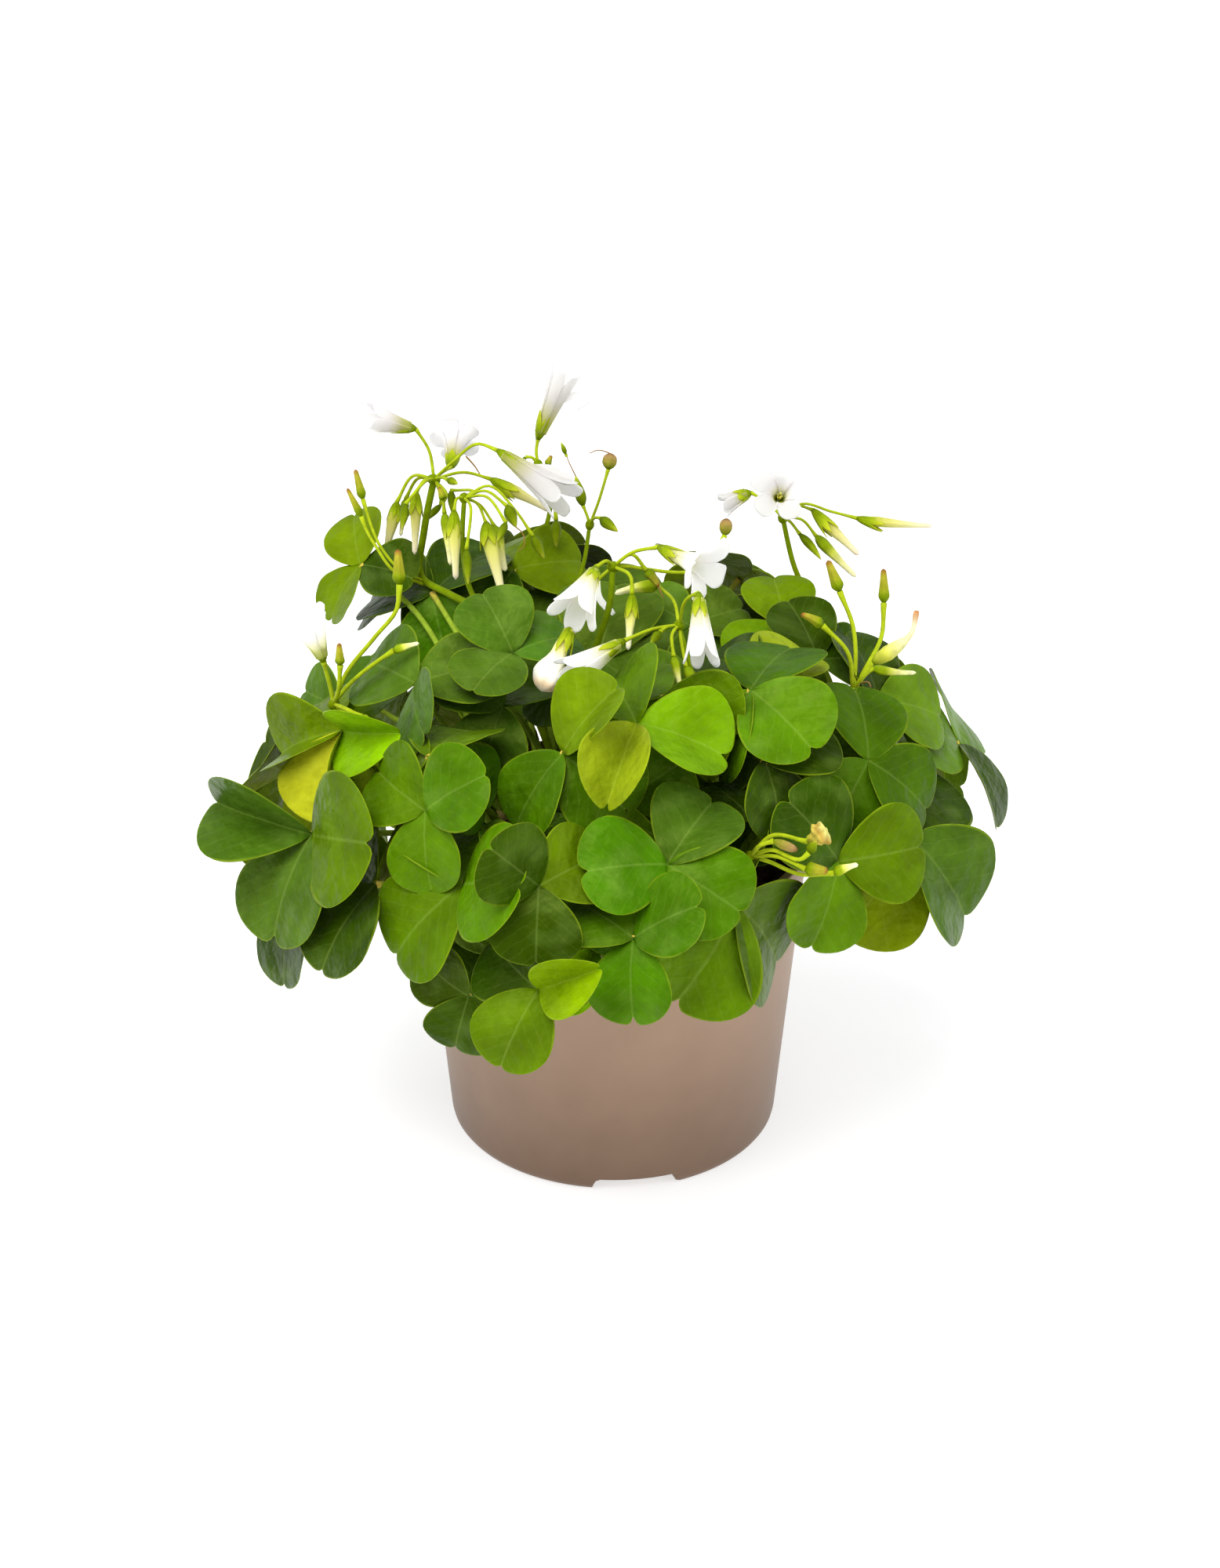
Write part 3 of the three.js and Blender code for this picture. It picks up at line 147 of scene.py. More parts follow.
# ---- Nursery pot ----
# A round tapered pot of injection-moulded polypropylene, 1.2 mm thick, with a thicker lip that
# stiffens its rim. Its foot is a ring with three low gaps, and the floor has six drain holes.
POT_HEIGHT = 98.0
FOOT_RADIUS = 50.0
FOOT_WIDTH = 6.0
FOOT_INSET = 1.0
WALL_SLOPE = 0.09
WALL = 1.2
LIP_RADIUS = 60.0
LIP_DEPTH = 6.0
FLOOR_UNDER = 4.6
FLOOR_TOP = 7.0
NOTCH_COUNT = 3
NOTCH_WIDTH = 25.0
NOTCH_HEIGHT = 4.3
NOTCH_AZIMUTH = math.radians(-82)
NOTCH_BLEND = math.radians(1.2)
DRAIN_COUNT = 6
DRAIN_RADIUS = 4.0
DRAIN_CIRCLE = 28.0
DRAIN_SIDES = 32
POT_SIDES = 240
POLE_RADIUS = 0.3  # a fan of triangles closes what is nearer to the axis
POT_COLOUR = "a98a70"
# painted shade: the pot's colour at its foot, where less light reaches
POT_PAINTED_SHADE = "674d38"


def wall_radius(height):
    """The outer radius of the pot's straight wall, which grows by the slope per mm of height."""
    return FOOT_RADIUS + WALL_SLOPE * height


def rounded(corners, steps=5):
    """A profile of [radius, height, rounding] corners, each cut back by its rounding along both
    sides and replaced by a quadratic curve between the two cuts."""
    spots = np.array([corner[:2] for corner in corners], float)
    cuts = np.array([corner[2] for corner in corners], float)
    pieces = []
    for k, (spot, cut) in enumerate(zip(spots, cuts)):
        if cut == 0:
            pieces.append(spot[None])
            continue
        before = spots[k - 1] - spot
        after = spots[k + 1] - spot
        first = spot + before / np.linalg.norm(before) * cut
        last = spot + after / np.linalg.norm(after) * cut
        share = np.linspace(0, 1, steps)[:, None]
        pieces.append((1 - share) ** 2 * first + 2 * share * (1 - share) * spot + share ** 2 * last)
    return np.concatenate(pieces)


def skin(rings):
    """Closes a stack of rings of points, right-handed about the way the stack runs: quads
    between neighbouring rings, and a fan of triangles over each end."""
    count, sides = rings.shape[:2]
    index = np.arange(count * sides).reshape(count, sides)
    turned = np.roll(index, -1, axis=1)
    quads = np.stack([index[:-1], turned[:-1], turned[1:], index[1:]], -1).reshape(-1, 4)
    points = np.concatenate([rings.reshape(-1, 3), [rings[0].mean(0), rings[-1].mean(0)]])
    low = np.full(sides, count * sides)
    triangles = np.concatenate([np.stack([turned[0], index[0], low], -1),
                                np.stack([index[-1], turned[-1], low + 1], -1)])
    return points, quads, triangles


def new_mesh(name, points, quads, triangles):
    """A smooth-shaded mesh from points in mm and arrays of quads and triangles."""
    mesh = bpy.data.meshes.new(name)
    mesh.vertices.add(len(points))
    mesh.vertices.foreach_set("co", (points * MM).astype(np.float32).ravel())
    corners = np.concatenate([quads.ravel(), triangles.ravel()]).astype(np.int32)
    mesh.loops.add(len(corners))
    mesh.loops.foreach_set("vertex_index", corners)
    sizes = np.concatenate([np.full(len(quads), 4), np.full(len(triangles), 3)])
    mesh.polygons.add(len(sizes))
    mesh.polygons.foreach_set("loop_start", np.concatenate([[0], np.cumsum(sizes)[:-1]]).astype(np.int32))
    mesh.polygons.foreach_set("use_smooth", np.ones(len(sizes), bool))
    mesh.update(calc_edges=True)
    return mesh


def finish_piece(name, mesh, material, slot, *nodes):
    """Puts a mesh in the scene as a piece of the plant that stands for CAD nodes."""
    piece = bpy.data.objects.new(name, mesh)
    bpy.context.scene.collection.objects.link(piece)
    mesh.materials.append(material)
    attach(piece, "root")
    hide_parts(*nodes)
    return piece


lip_under = POT_HEIGHT - LIP_DEPTH
foot_inside = FOOT_RADIUS - FOOT_WIDTH
pot_profile = rounded([
    [POLE_RADIUS, FLOOR_TOP, 0], [wall_radius(FLOOR_TOP) - WALL, FLOOR_TOP, 1.5],
    [wall_radius(POT_HEIGHT) - WALL, POT_HEIGHT, 0.4], [LIP_RADIUS, POT_HEIGHT, 0.9],
    [LIP_RADIUS, lip_under, 0.5], [wall_radius(lip_under), lip_under, 0.4],
    *([wall_radius(height), height, 0] for height in (NOTCH_HEIGHT + 3.5, NOTCH_HEIGHT + 0.5)),
    [FOOT_RADIUS, 0, 3.0], [foot_inside, 0, 0.5],
    [foot_inside - FOOT_INSET, FLOOR_UNDER, 0.6], [POLE_RADIUS, FLOOR_UNDER, 0],
])
# The profile runs from the inside out, so its rings run clockwise for its faces to point outwards.
azimuth = -np.arange(POT_SIDES) * 2 * math.pi / POT_SIDES
notch_turn = 2 * math.pi / NOTCH_COUNT
from_notch = np.abs((azimuth - NOTCH_AZIMUTH + notch_turn / 2) % notch_turn - notch_turn / 2)
notch_half = NOTCH_WIDTH / 2 / FOOT_RADIUS
notch_share = np.clip((notch_half - from_notch) / NOTCH_BLEND + 0.5, 0, 1)
notch_share = notch_share ** 2 * (3 - 2 * notch_share)
radius, height = pot_profile[:, 0, None], pot_profile[:, 1, None]
pot_rings = np.stack([radius * np.cos(azimuth), radius * np.sin(azimuth), height + 0 * azimuth], -1)
in_foot = (radius > foot_inside - FOOT_INSET - 0.5) & (height < NOTCH_HEIGHT)
pot_rings[..., 2] = np.where(in_foot, np.maximum(height, NOTCH_HEIGHT * notch_share), pot_rings[..., 2])
pot_mesh = new_mesh("nursery_pot_body", *skin(pot_rings))

drains = bmesh.new()
for angle in (np.arange(DRAIN_COUNT) + 0.5) * 2 * math.pi / DRAIN_COUNT:
    made = bmesh.ops.create_cone(
        drains, cap_ends=True, segments=DRAIN_SIDES, radius1=DRAIN_RADIUS * MM,
        radius2=DRAIN_RADIUS * MM, depth=4 * FLOOR_TOP * MM)
    way = (math.cos(angle), math.sin(angle), 0)
    bmesh.ops.translate(drains, verts=made["verts"], vec=[DRAIN_CIRCLE * MM * part for part in way])
drain_mesh = bpy.data.meshes.new("drains")
drains.to_mesh(drain_mesh)
drains.free()
drain_cutter = bpy.data.objects.new("drains", drain_mesh)
bpy.context.scene.collection.objects.link(drain_cutter)

polypropylene, tree, surface = new_material(
    "moulded polypropylene", Roughness=0.42, IOR=1.49, Subsurface_Weight=0.06, Subsurface_Scale=0.002)
# A smooth, half glossy skin. Its colour is mottled in spots of about 17 mm, and darkens a little toward
# the foot: painted shade. The grain left by the mould is drawn 0.7 mm wide, coarser than it is, to show.
place = add_node(tree, "TexCoord").outputs["Object"]
split = add_node(tree, "SeparateXYZ", {0: place})
painted_shade_lift = add_node(tree, "MapRange", {0: split.outputs["Z"], 1: 0.0, 2: POT_HEIGHT * MM, 3: -0.1, 4: 0.9})
mottle = add_node(tree, "TexNoise", {"Vector": place, "Scale": 60.0, "Detail": 4.0})
mottled = add_node(tree, "Math", {0: mottle.outputs["Fac"], 1: 0.25, 2: painted_shade_lift.outputs[0]},
                   operation="MULTIPLY_ADD")
tone = add_node(tree, "Mix", {"Factor": mottled.outputs[0], 6: linear(POT_PAINTED_SHADE), 7: linear(POT_COLOUR)},
                data_type="RGBA")
tree.links.new(tone.outputs[2], surface.inputs["Base Color"])
grain = add_node(tree, "TexNoise", {"Vector": place, "Scale": 1400.0, "Detail": 2.0})
relief = add_node(tree, "Bump", {"Strength": 0.12, "Distance": 0.0002, "Height": grain.outputs["Fac"]})
tree.links.new(relief.outputs[0], surface.inputs["Normal"])

nursery_pot = finish_piece("nursery_pot_body", pot_mesh, polypropylene, "pot", "nursery_pot")
cut = nursery_pot.modifiers.new("drain holes", "BOOLEAN")
cut.object = drain_cutter
cut.operation = "DIFFERENCE"
bpy.context.view_layer.update()
holed = bpy.data.meshes.new_from_object(nursery_pot.evaluated_get(bpy.context.evaluated_depsgraph_get()))
nursery_pot.modifiers.clear()
nursery_pot.data = holed
bpy.data.objects.remove(drain_cutter)

# ---- Potting soil ----
# A peat and bark mix that fills the pot to 10 mm under its rim. The leaf and flower stalks
# grow out of it, and its top is a rough relief of crumbs and small pieces of bark.
SOIL_TOP = 88.0
SOIL_GAP = 0.3
SOIL_RELIEF = 1.1
SOIL_EDGE = 4.0  # the relief dies out over this width along the wall
SOIL_POLE = 0.4
SOIL_RINGS = 56
SOIL_SIDES = 144
CRUMBS = 420
CRUMB_SIZE = (0.9, 2.6)
SOIL_COLOURS = ("1c120c", "4a3324")
soil_random = np.random.default_rng(11)


def ripples(spots, lengths, random, directions=5):
    """A smooth uneven height between about -1 and 1: the mean of sine waves of each length
    that run in random directions, at 2-D or 3-D spots."""
    total = 0
    for length in lengths:
        ways = random.normal(size=(directions, spots.shape[-1]))
        ways /= np.linalg.norm(ways, axis=1)[:, None]
        phases = random.uniform(0, 2 * math.pi, directions)
        total = total + np.sin(spots @ ways.T * (2 * math.pi / length) + phases).mean(-1)
    return total / len(lengths) * 2


soil_azimuth = np.arange(SOIL_SIDES) * 2 * math.pi / SOIL_SIDES
soil_bottom = FLOOR_TOP + SOIL_GAP
bottom_reach = wall_radius(soil_bottom) - WALL - SOIL_GAP
top_reach = wall_radius(SOIL_TOP) - WALL - SOIL_GAP
bottom_radii = [SOIL_POLE, bottom_reach * 0.6, bottom_reach]
top_radii = np.linspace(top_reach, SOIL_POLE, SOIL_RINGS)
soil_radii = np.concatenate([bottom_radii, top_radii])
soil_heights = np.repeat([soil_bottom, SOIL_TOP], [len(bottom_radii), SOIL_RINGS])
soil_rings = np.stack([soil_radii[:, None] * np.cos(soil_azimuth),
                       soil_radii[:, None] * np.sin(soil_azimuth),
                       soil_heights[:, None] + 0 * soil_azimuth], -1)
relief_share = np.clip((top_reach - top_radii) / SOIL_EDGE, 0, 1)[:, None]
on_top = soil_rings[len(bottom_radii):]
on_top[..., 2] += SOIL_RELIEF * relief_share * ripples(on_top[..., :2], (19.0, 8.0, 4.2, 2.4), soil_random)

# Dull all through: dark fibres of about 2.5 mm, with paler bark between them
peat, tree, surface = new_material("peat and bark mix", Roughness=0.95, Specular_IOR_Level=0.2)
place = add_node(tree, "TexCoord").outputs["Object"]
fibre = add_node(tree, "TexNoise", {"Vector": place, "Scale": 420.0, "Detail": 6.0, "Roughness": 0.7})
colour = add_node(tree, "ValToRGB", {0: fibre.outputs["Fac"]})
for stop, position, shade in zip(colour.color_ramp.elements, (0.35, 0.75), SOIL_COLOURS):
    stop.position = position
    stop.color = linear(shade)
tree.links.new(colour.outputs["Color"], surface.inputs["Base Color"])
relief = add_node(tree, "Bump", {"Strength": 0.9, "Distance": 0.0008, "Height": fibre.outputs["Fac"]})
tree.links.new(relief.outputs[0], surface.inputs["Normal"])


class Growth:
    """Closed shells that make up one piece: points in mm, faces, and for each point a colour
    and a place in its pattern."""

    def __init__(self):
        self.points, self.quads, self.triangles = [], [], []
        self.tints, self.spots = [], []
        self.count = 0

    def add(self, shell, tint, spots=None):
        """Adds a shell of points, quads and triangles, with one colour or a colour a point."""
        points, quads, triangles = shell
        self.points.append(points)
        self.quads.append(quads + self.count)
        self.triangles.append(triangles + self.count)
        self.tints.append(np.broadcast_to(np.asarray(tint, float)[..., :3], (len(points), 3)))
        self.spots.append(np.zeros((len(points), 2)) if spots is None else spots)
        self.count += len(points)

    def piece(self, name, material, slot, *nodes):
        """Makes one mesh of the shells and puts it in the scene."""
        mesh = new_mesh(name, *(np.concatenate(part) for part in (self.points, self.quads, self.triangles)))
        tint = mesh.attributes.new("tint", "FLOAT_COLOR", "POINT")
        colours = np.concatenate(self.tints)
        colours = np.concatenate([colours, np.ones((len(colours), 1))], 1)
        tint.data.foreach_set("color", colours.astype(np.float32).ravel())
        corners = np.zeros(len(mesh.loops), np.int32)
        mesh.loops.foreach_get("vertex_index", corners)
        pattern = mesh.uv_layers.new(name="pattern")
        pattern.uv.foreach_set("vector", np.concatenate(self.spots)[corners].astype(np.float32).ravel())
        return finish_piece(name, mesh, material, slot, *nodes)


def pebble(middle, size, random, rows=5, sides=8):
    """A small uneven lump: rings of a squashed ball whose radius changes by up to a quarter."""
    polar = np.linspace(0.15, math.pi - 0.15, rows)[:, None]
    around = np.arange(sides) * 2 * math.pi / sides
    axes = size * random.uniform(0.5, 1.0, 3)
    lump = 1 + random.uniform(-0.25, 0.25, (rows, sides))
    rings = np.stack([lump * np.sin(polar) * np.cos(around), lump * np.sin(polar) * np.sin(around),
                      -np.cos(polar) * lump], -1) * axes
    return skin(rings + middle)


soil = Growth()
soil.add(skin(soil_rings), linear(SOIL_COLOURS[0]))
for _ in range(CRUMBS):
    reach = (top_reach - 3) * math.sqrt(soil_random.uniform())
    turn = soil_random.uniform(0, 2 * math.pi)
    middle = [reach * math.cos(turn), reach * math.sin(turn), SOIL_TOP + soil_random.uniform(-0.3, 0.8)]
    soil.add(pebble(middle, soil_random.uniform(*CRUMB_SIZE), soil_random), linear(SOIL_COLOURS[1]))
soil.piece("potting_soil_body", peat, "soil", "potting_soil")

# ---- Leaves ----
# Each leaf is three thin rounded leaflets with a shallow notch, which meet on top of a thin
# petiole. The petioles grow in groups from short rhizome tips in the soil. The solids give
# each leaflet's place, length and slant, and each petiole's way.
BLADE = 0.7  # thickness of a solid leaflet
FINE_BLADE = 0.36
# The form of a solid leaflet, as shares of its length: half its width, how high it arches and
# folds up at its sides, how far along it is widest, its lobes' corners as a share of that half
# width and how far along, its notch, and the middle of its face
HALF_WIDTH = 0.6
ARCH = 0.07
FOLD = 0.07
WIDEST = 0.68
LOBE = (0.6, 1.02)
NOTCH = 0.88
FAN_CENTRE = 0.55
CLOSE = 0.12  # how nearly a distance between corners must be the one that is looked for
LEAFLET_COUNT = 3
SAME_WAY = 0.9  # two midribs of a leaf that are closer in direction than this cosine are one
HUB_REACH = 1  # midribs that start within this distance of each other are one leaf's
HUB_RING = 2  # the top ring of a petiole lies within this distance of the leaf's hub
RING_CORNERS = 3
RING_STEP = 5  # the rings of a solid petiole are further apart than this
LOWEST_BAND = 0.5  # corners within this height of the lowest one are the foot
BLADE_ACROSS = 25
BLADE_ALONG = 14
MARGIN = 0.016
HILL_LENGTHS = (14.0, 7.5)
PUCKER_LENGTHS = (4.3,)
SHADE_LENGTHS = (18.0,)
PAINTED_SHEEN_LENGTHS = (24.0, 9.0)
PETIOLE_RADIUS = (1.05, 0.8)  # at the crown and under the leaf
PETIOLE_SWELLING = 0.35  # how much thicker it is right under the leaf
PETIOLE_SINK = 0.2  # how far it ends below the hub
PETIOLE_SIDES = 10
PETIOLE_STATIONS = 26
ROOT_TOP = 89.8
CROWN_TOP = 91.3  # a petiole that is last seen above this still has to reach its root
ROOT_CIRCLE = 46  # every clump has its roots nearer to the pot's axis than this
CROWN_PROFILE = ((84, 3.6), (87, 3.5), (89, 3.2), (90.2, 2.4), (90.6, 1.2))  # height, radius
CROWN_SIDES = 14
# The dark tone is mostly painted shade on a deeper green, for leaves that lie in the shade of others; the
# grey tone is partly painted sheen
TONES = {
    "dark": "294001", "deep": "385801", "mid": "4a6901", "vivid": "3c6502", "bright": "638c02",
    "fresh": "497304", "grey": "405d10", "sage": "567312", "yellow": "5e7700", "lime": "7b9d03",
    "young": "859616", "pale": "adb01e",
}
UNDERSIDE = "7b8e20"
LEAF_RIM_PAINTED_GLOW = "8ba01c"
VEIN_COLOUR = "b9cf6a"
LEAF_SHEEN = "d8e468"  # the tint of what the waxed skin throws back
# Greyish patches of painted sheen: the soft reflection of the lamps and room on the leaves' tops, put into
# their colour, thickly on these tones and thinly on the rest
PAINTED_SHEEN_COLOUR = "6a8636"
PAINTED_SHEEN_TONES = ("grey", "sage", "fresh", "vivid", "dark")
PAINTED_SHEEN_SHARE = 0.2
FAINT_SHEEN_SHARE = 0.05  # of painted sheen, on the other tones
PETIOLE_COLOUR = "86a02c"
CROWN_COLOUR = "8a7a45"
HUB_COLOUR = "c9b04a"
# The tone of a leaf and how strongly it is puckered, with the places where the hubs of such
# leaves are seen: mm across and mm up
LEAF_TONES = {
    ("dark", 0.4): ((44, 31), (-2, 61)),
    ("dark", 0.5): ((-14, -19), (29, 0), (46, 7), (62, 37), (57, 29), (-45, 36), (-45, 30), (-46, 12),
        (-42, -63), (-60, 60), (-30, 62)),
    ("dark", 0.6): ((-38, -43), (54, -2), (-70, -30), (-21, -30)), ("dark", 0.7): ((-92, -32),),
    ("deep", 0.4): ((42, 28),), ("deep", 0.5): ((-2, -19),),
    ("deep", 0.6): ((-14, 9), (3, -5), (8, -26), (77, 7)), ("mid", 0.4): ((-21, -61),),
    ("mid", 0.5): ((16, 26), (-70, -2), (86, -6)), ("mid", 0.6): ((-54, 8), (-44, -30), (38, -36)),
    ("mid", 0.7): ((-55, -8), (68, -23)), ("vivid", 0.4): ((-4, -49),), ("vivid", 0.5): ((17, -24),),
    ("vivid", 0.6): ((7, -46),), ("vivid", 0.9): ((-53, 57),), ("vivid", 1.0): ((-32, -23),),
    ("bright", 0.4): ((8, 18),), ("bright", 0.7): ((87, 5),), ("bright", 0.9): ((-36, -26),),
    ("grey", 0.4): ((14, 51), (-28, 48)),
    ("grey", 0.5): ((-3, 37), (-29, 39), (-32, 23), (24, 47), (12, 44), (-11, 62), (-80, 23)),
    ("grey", 0.7): ((-89, -15),), ("grey", 0.8): ((-58, 30),), ("sage", 0.4): ((80, 25),),
    ("sage", 0.5): ((104, 12), (90, 20)), ("yellow", 0.3): ((-74, 65),),
    ("yellow", 0.4): ((52, 47), (48, 51), (-29, 64), (-84, 15), (39, 61), (-96, 3), (-90, 0)),
    ("yellow", 0.5): ((-89, 0),), ("yellow", 0.8): ((90, -16),), ("lime", 0.2): ((-77, 16),),
    ("lime", 0.3): ((-72, 24),), ("pale", 0.2): ((-80, 16),),
}
# Leaflets that differ from the rest of their leaf, by the places where their middles are seen:
# also how far their halves fold up from the midrib, in radians
LEAFLET_TONES = {
    ("dark", 0.4, 0.1): ((-29, -53), (74, 36), (-35, 54), (110, -2), (-66, 63)),
    ("dark", 0.5, 0.1): ((-63, 56), (-43, 64), (59, -13), (90, -3)), ("mid", 0.3, 0.5): ((4, 25),),
    ("mid", 0.4, 0.4): ((37, 14),), ("mid", 0.5, 0.1): ((-63, -1), (-11, -25)),
    ("mid", 0.6, 0.1): ((-79, -17), (-77, -28)), ("vivid", 1.2, 0.1): ((6, -40),),
    ("vivid", 1.4, 0.1): ((-44, -1), (-45, -2)), ("bright", 0.2, 0.2): ((-71, 22), (-67, 19)),
    ("bright", 0.4, 0.3): ((23, 12),), ("fresh", 0.8, 0.1): ((52, 18),),
    ("grey", 0.4, 0.2): ((-98, -13),), ("grey", 0.4, 0.9): ((-105, -10),),
    ("grey", 0.5, 0.2): ((25, -14),), ("grey", 0.7, 0.1): ((44, -46),), ("grey", 0.9, 0.2): ((99, -29),),
    ("sage", 1.0, 0.1): ((-35, -39),), ("yellow", 0.2, 0.7): ((-90, 12),),
    ("yellow", 0.3, 0.3): ((-5, 20),), ("yellow", 0.4, 0.3): ((-37, 14),),
    ("yellow", 0.5, 0.1): ((-79, 56),), ("lime", 0.2, 0.9): ((-70, 16),), ("lime", 0.3, 0.4): ((30, 11),),
    ("lime", 0.3, 0.9): ((-11, -58), (-10, -59)), ("young", 0.2, 0.1): ((52, 35),),
    ("young", 0.2, 0.6): ((-75, 7),), ("young", 0.3, 0.9): ((3, 4),),
    ("pale", 0.2, 0.6): ((-75, 8), (-81, 1)),
}
# Leaves that no table names have these tones in turn, puckered alike
HIDDEN_TONES = ("mid", "dark", "grey", "deep", "bright", "yellow", "sage")
HIDDEN_PUCKER = 0.5
TONE_REACH = 2  # a place in a table stands for a leaf that is seen within this distance of it
SEEN_DEPTH = -20  # what lies further back than this is hidden
leaf_random = np.random.default_rng(5)


def rgb(colour):
    """An sRGB hex colour as an array of linear red, green and blue."""
    return np.array(linear(colour)[:3])


def unit(vector):
    """The vector at length 1, or each row of an array of them."""
    return vector / np.linalg.norm(vector, axis=-1, keepdims=True)


def solid_net(name):
    """A solid's corners in mm, and for each corner the set of those it shares an edge with."""
    net = bmesh.new()
    net.from_mesh(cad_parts[name].data)
    bmesh.ops.remove_doubles(net, verts=net.verts, dist=0.01 * MM)
    net.verts.index_update()
    corners = np.array([vert.co for vert in net.verts]) / MM
    beside = [{edge.other_vert(vert).index for edge in vert.link_edges} for vert in net.verts]
    net.free()
    return corners, beside


def mate_of(corner, corners, beside):
    """The corner on the other face of a blade: the neighbour that lies the thickness away."""
    near = list(beside[corner])
    away = np.linalg.norm(corners[near] - corners[corner], axis=1)
    return near[int(np.argmin(np.abs(away - BLADE)))]


def blade_rise(across, along):
    """How far a solid leaflet stands off its plane, as a share of its length: a parabola along
    it, and a fold that rises evenly to its sides."""
    return ARCH * 4 * along * (1 - along) + FOLD * across


FROM_CENTRE = [math.hypot(across * HALF_WIDTH, along - FAN_CENTRE,
                          blade_rise(across, along) - blade_rise(0, FAN_CENTRE))
               for across, along in ((1, WIDEST), LOBE, (0, NOTCH))]


def outline_of(middle, corners, beside):
    """The five corners of a leaflet's outline round the middle of its face, from side to side,
    told by how far they lie from the middle and apart. None where the corner is no middle."""
    near = np.array(sorted(beside[middle]))
    away = np.linalg.norm(corners[near] - corners[middle], axis=1)
    apart = np.linalg.norm(corners[near][:, None] - corners[near], axis=2)
    for left, right in zip(*np.nonzero(np.triu(apart))):
        length = apart[left, right] / (2 * HALF_WIDTH)
        shoulder, lobe, notch = (np.abs(away - length * share) < CLOSE for share in FROM_CENTRE)
        lobes = [k for k in np.nonzero(lobe)[0] if k not in (left, right)]
        if shoulder[left] and shoulder[right] and len(lobes) == 2 and sum(notch) == 1:
            lobes = sorted(lobes, key=lambda k: apart[left, k])
            return list(near[[left, lobes[0], int(np.argmax(notch)), lobes[1], right]])
    return None


def leaflet_frame(outline, corners, beside):
    """Where a leaflet lies, from the five corners of its outline: its hub, the way its midrib
    runs, the way across it, the way it faces, and its length. The midrib's way and the facing
    are solved from the lines that lead from the notch to halfway between the two shoulders and
    between the two lobes."""
    mates = [mate_of(corner, corners, beside) for corner in outline]
    rim = (corners[outline] + corners[mates]) / 2
    length = np.linalg.norm(rim[0] - rim[4]) / (2 * HALF_WIDTH)
    notch_rise = blade_rise(0, NOTCH)
    steps = [[WIDEST - NOTCH, blade_rise(1, WIDEST) - notch_rise],
             [LOBE[1] - NOTCH, blade_rise(*LOBE) - notch_rise]]
    known = np.array([rim[0] + rim[4], rim[1] + rim[3]]) / 2 - rim[2]
    way, facing = np.linalg.solve(steps, known / length)
    way = unit(way)
    facing = unit(facing - way * (facing @ way))
    return {"hub": rim[2] - length * (NOTCH * way + notch_rise * facing), "way": way,
            "across": np.cross(way, facing), "facing": facing, "length": length}


def leaves_on(corners, beside):
    """Finds each leaf of a solid clump: the leaflets whose midribs start at one hub."""
    leaves = []
    for middle in range(len(corners)):
        outline = outline_of(middle, corners, beside)
        if outline is None:
            continue
        shape = leaflet_frame(outline, corners, beside)
        home = [leaf for leaf in leaves if np.linalg.norm(leaf["hub"] - shape["hub"]) < HUB_REACH]
        if not home:
            leaves.append({"hub": shape["hub"], "leaflets": [], "own": set()})
            home = leaves[-1:]
        face = [middle] + outline
        home[0]["own"] |= set(face) | {mate_of(corner, corners, beside) for corner in face}
        if all(shape["way"] @ other["way"] < SAME_WAY for other in home[0]["leaflets"]):
            home[0]["leaflets"].append(shape)
    leaves = [leaf for leaf in leaves if len(leaf["leaflets"]) == LEAFLET_COUNT]
    for leaf in leaves:
        leaf["petiole"] = petiole_knots(leaf, corners, beside)
    return leaves


def petiole_knots(leaf, corners, beside):
    """The middles of a petiole's three-cornered rings, walked from the leaf down to the crown."""
    knots = [leaf["hub"]]
    ring = set(np.nonzero(np.linalg.norm(corners - leaf["hub"], axis=1) < HUB_RING)[0])
    known = leaf["own"] | ring
    while ring:
        onward = set().union(*(beside[corner] for corner in ring)) - known
        ring = {corner for corner in onward if np.linalg.norm(corners[corner] - knots[-1]) > RING_STEP}
        known = known | onward
        if len(ring) != RING_CORNERS:
            break
        knots.append(corners[list(ring)].mean(0))
    return knots


def above_foot(corners, height):
    """The place at a height straight above or below the middle of a solid's lowest corners."""
    lowest = corners[corners[:, 2] < corners[:, 2].min() + LOWEST_BAND]
    return np.array([*lowest[:, :2].mean(0), height])


def smooth_path(knots, count):
    """A curve through its knots: cubic Hermite pieces with central-difference slopes over the
    chord length, at evenly spaced stations."""
    knots = np.asarray(knots, float)
    span = np.concatenate([[0], np.cumsum(np.linalg.norm(np.diff(knots, axis=0), axis=1))])
    slope = np.gradient(knots, span, axis=0)
    station = np.linspace(0, span[-1], count)
    k = np.clip(np.searchsorted(span, station, side="right") - 1, 0, len(span) - 2)
    width = (span[k + 1] - span[k])[:, None]
    s = (station - span[k])[:, None] / width
    return ((1 + 2 * s) * (1 - s) ** 2 * knots[k] + s * (1 - s) ** 2 * width * slope[k]
            + s ** 2 * (3 - 2 * s) * knots[k + 1] + s ** 2 * (s - 1) * width * slope[k + 1])


def round_about(turn, first, second):
    """The direction at each of an array of angles: the first way times the angle's cosine and
    the second times its sine."""
    return np.cos(turn)[..., None] * first + np.sin(turn)[..., None] * second


def stem(path, radii, sides):
    """A round shell along a path: a ring at each station, square to the way the path runs."""
    way = unit(np.gradient(path, axis=0))
    spread = np.abs(way).max(0)
    steady = np.eye(3)[int(np.argmin(spread))]
    first = unit(np.cross(steady, way))
    second = np.cross(way, first)
    turn = np.arange(sides) * 2 * math.pi / sides
    ring = round_about(turn, first[:, None], second[:, None])
    return skin(path[:, None] + np.asarray(radii)[:, None, None] * ring)


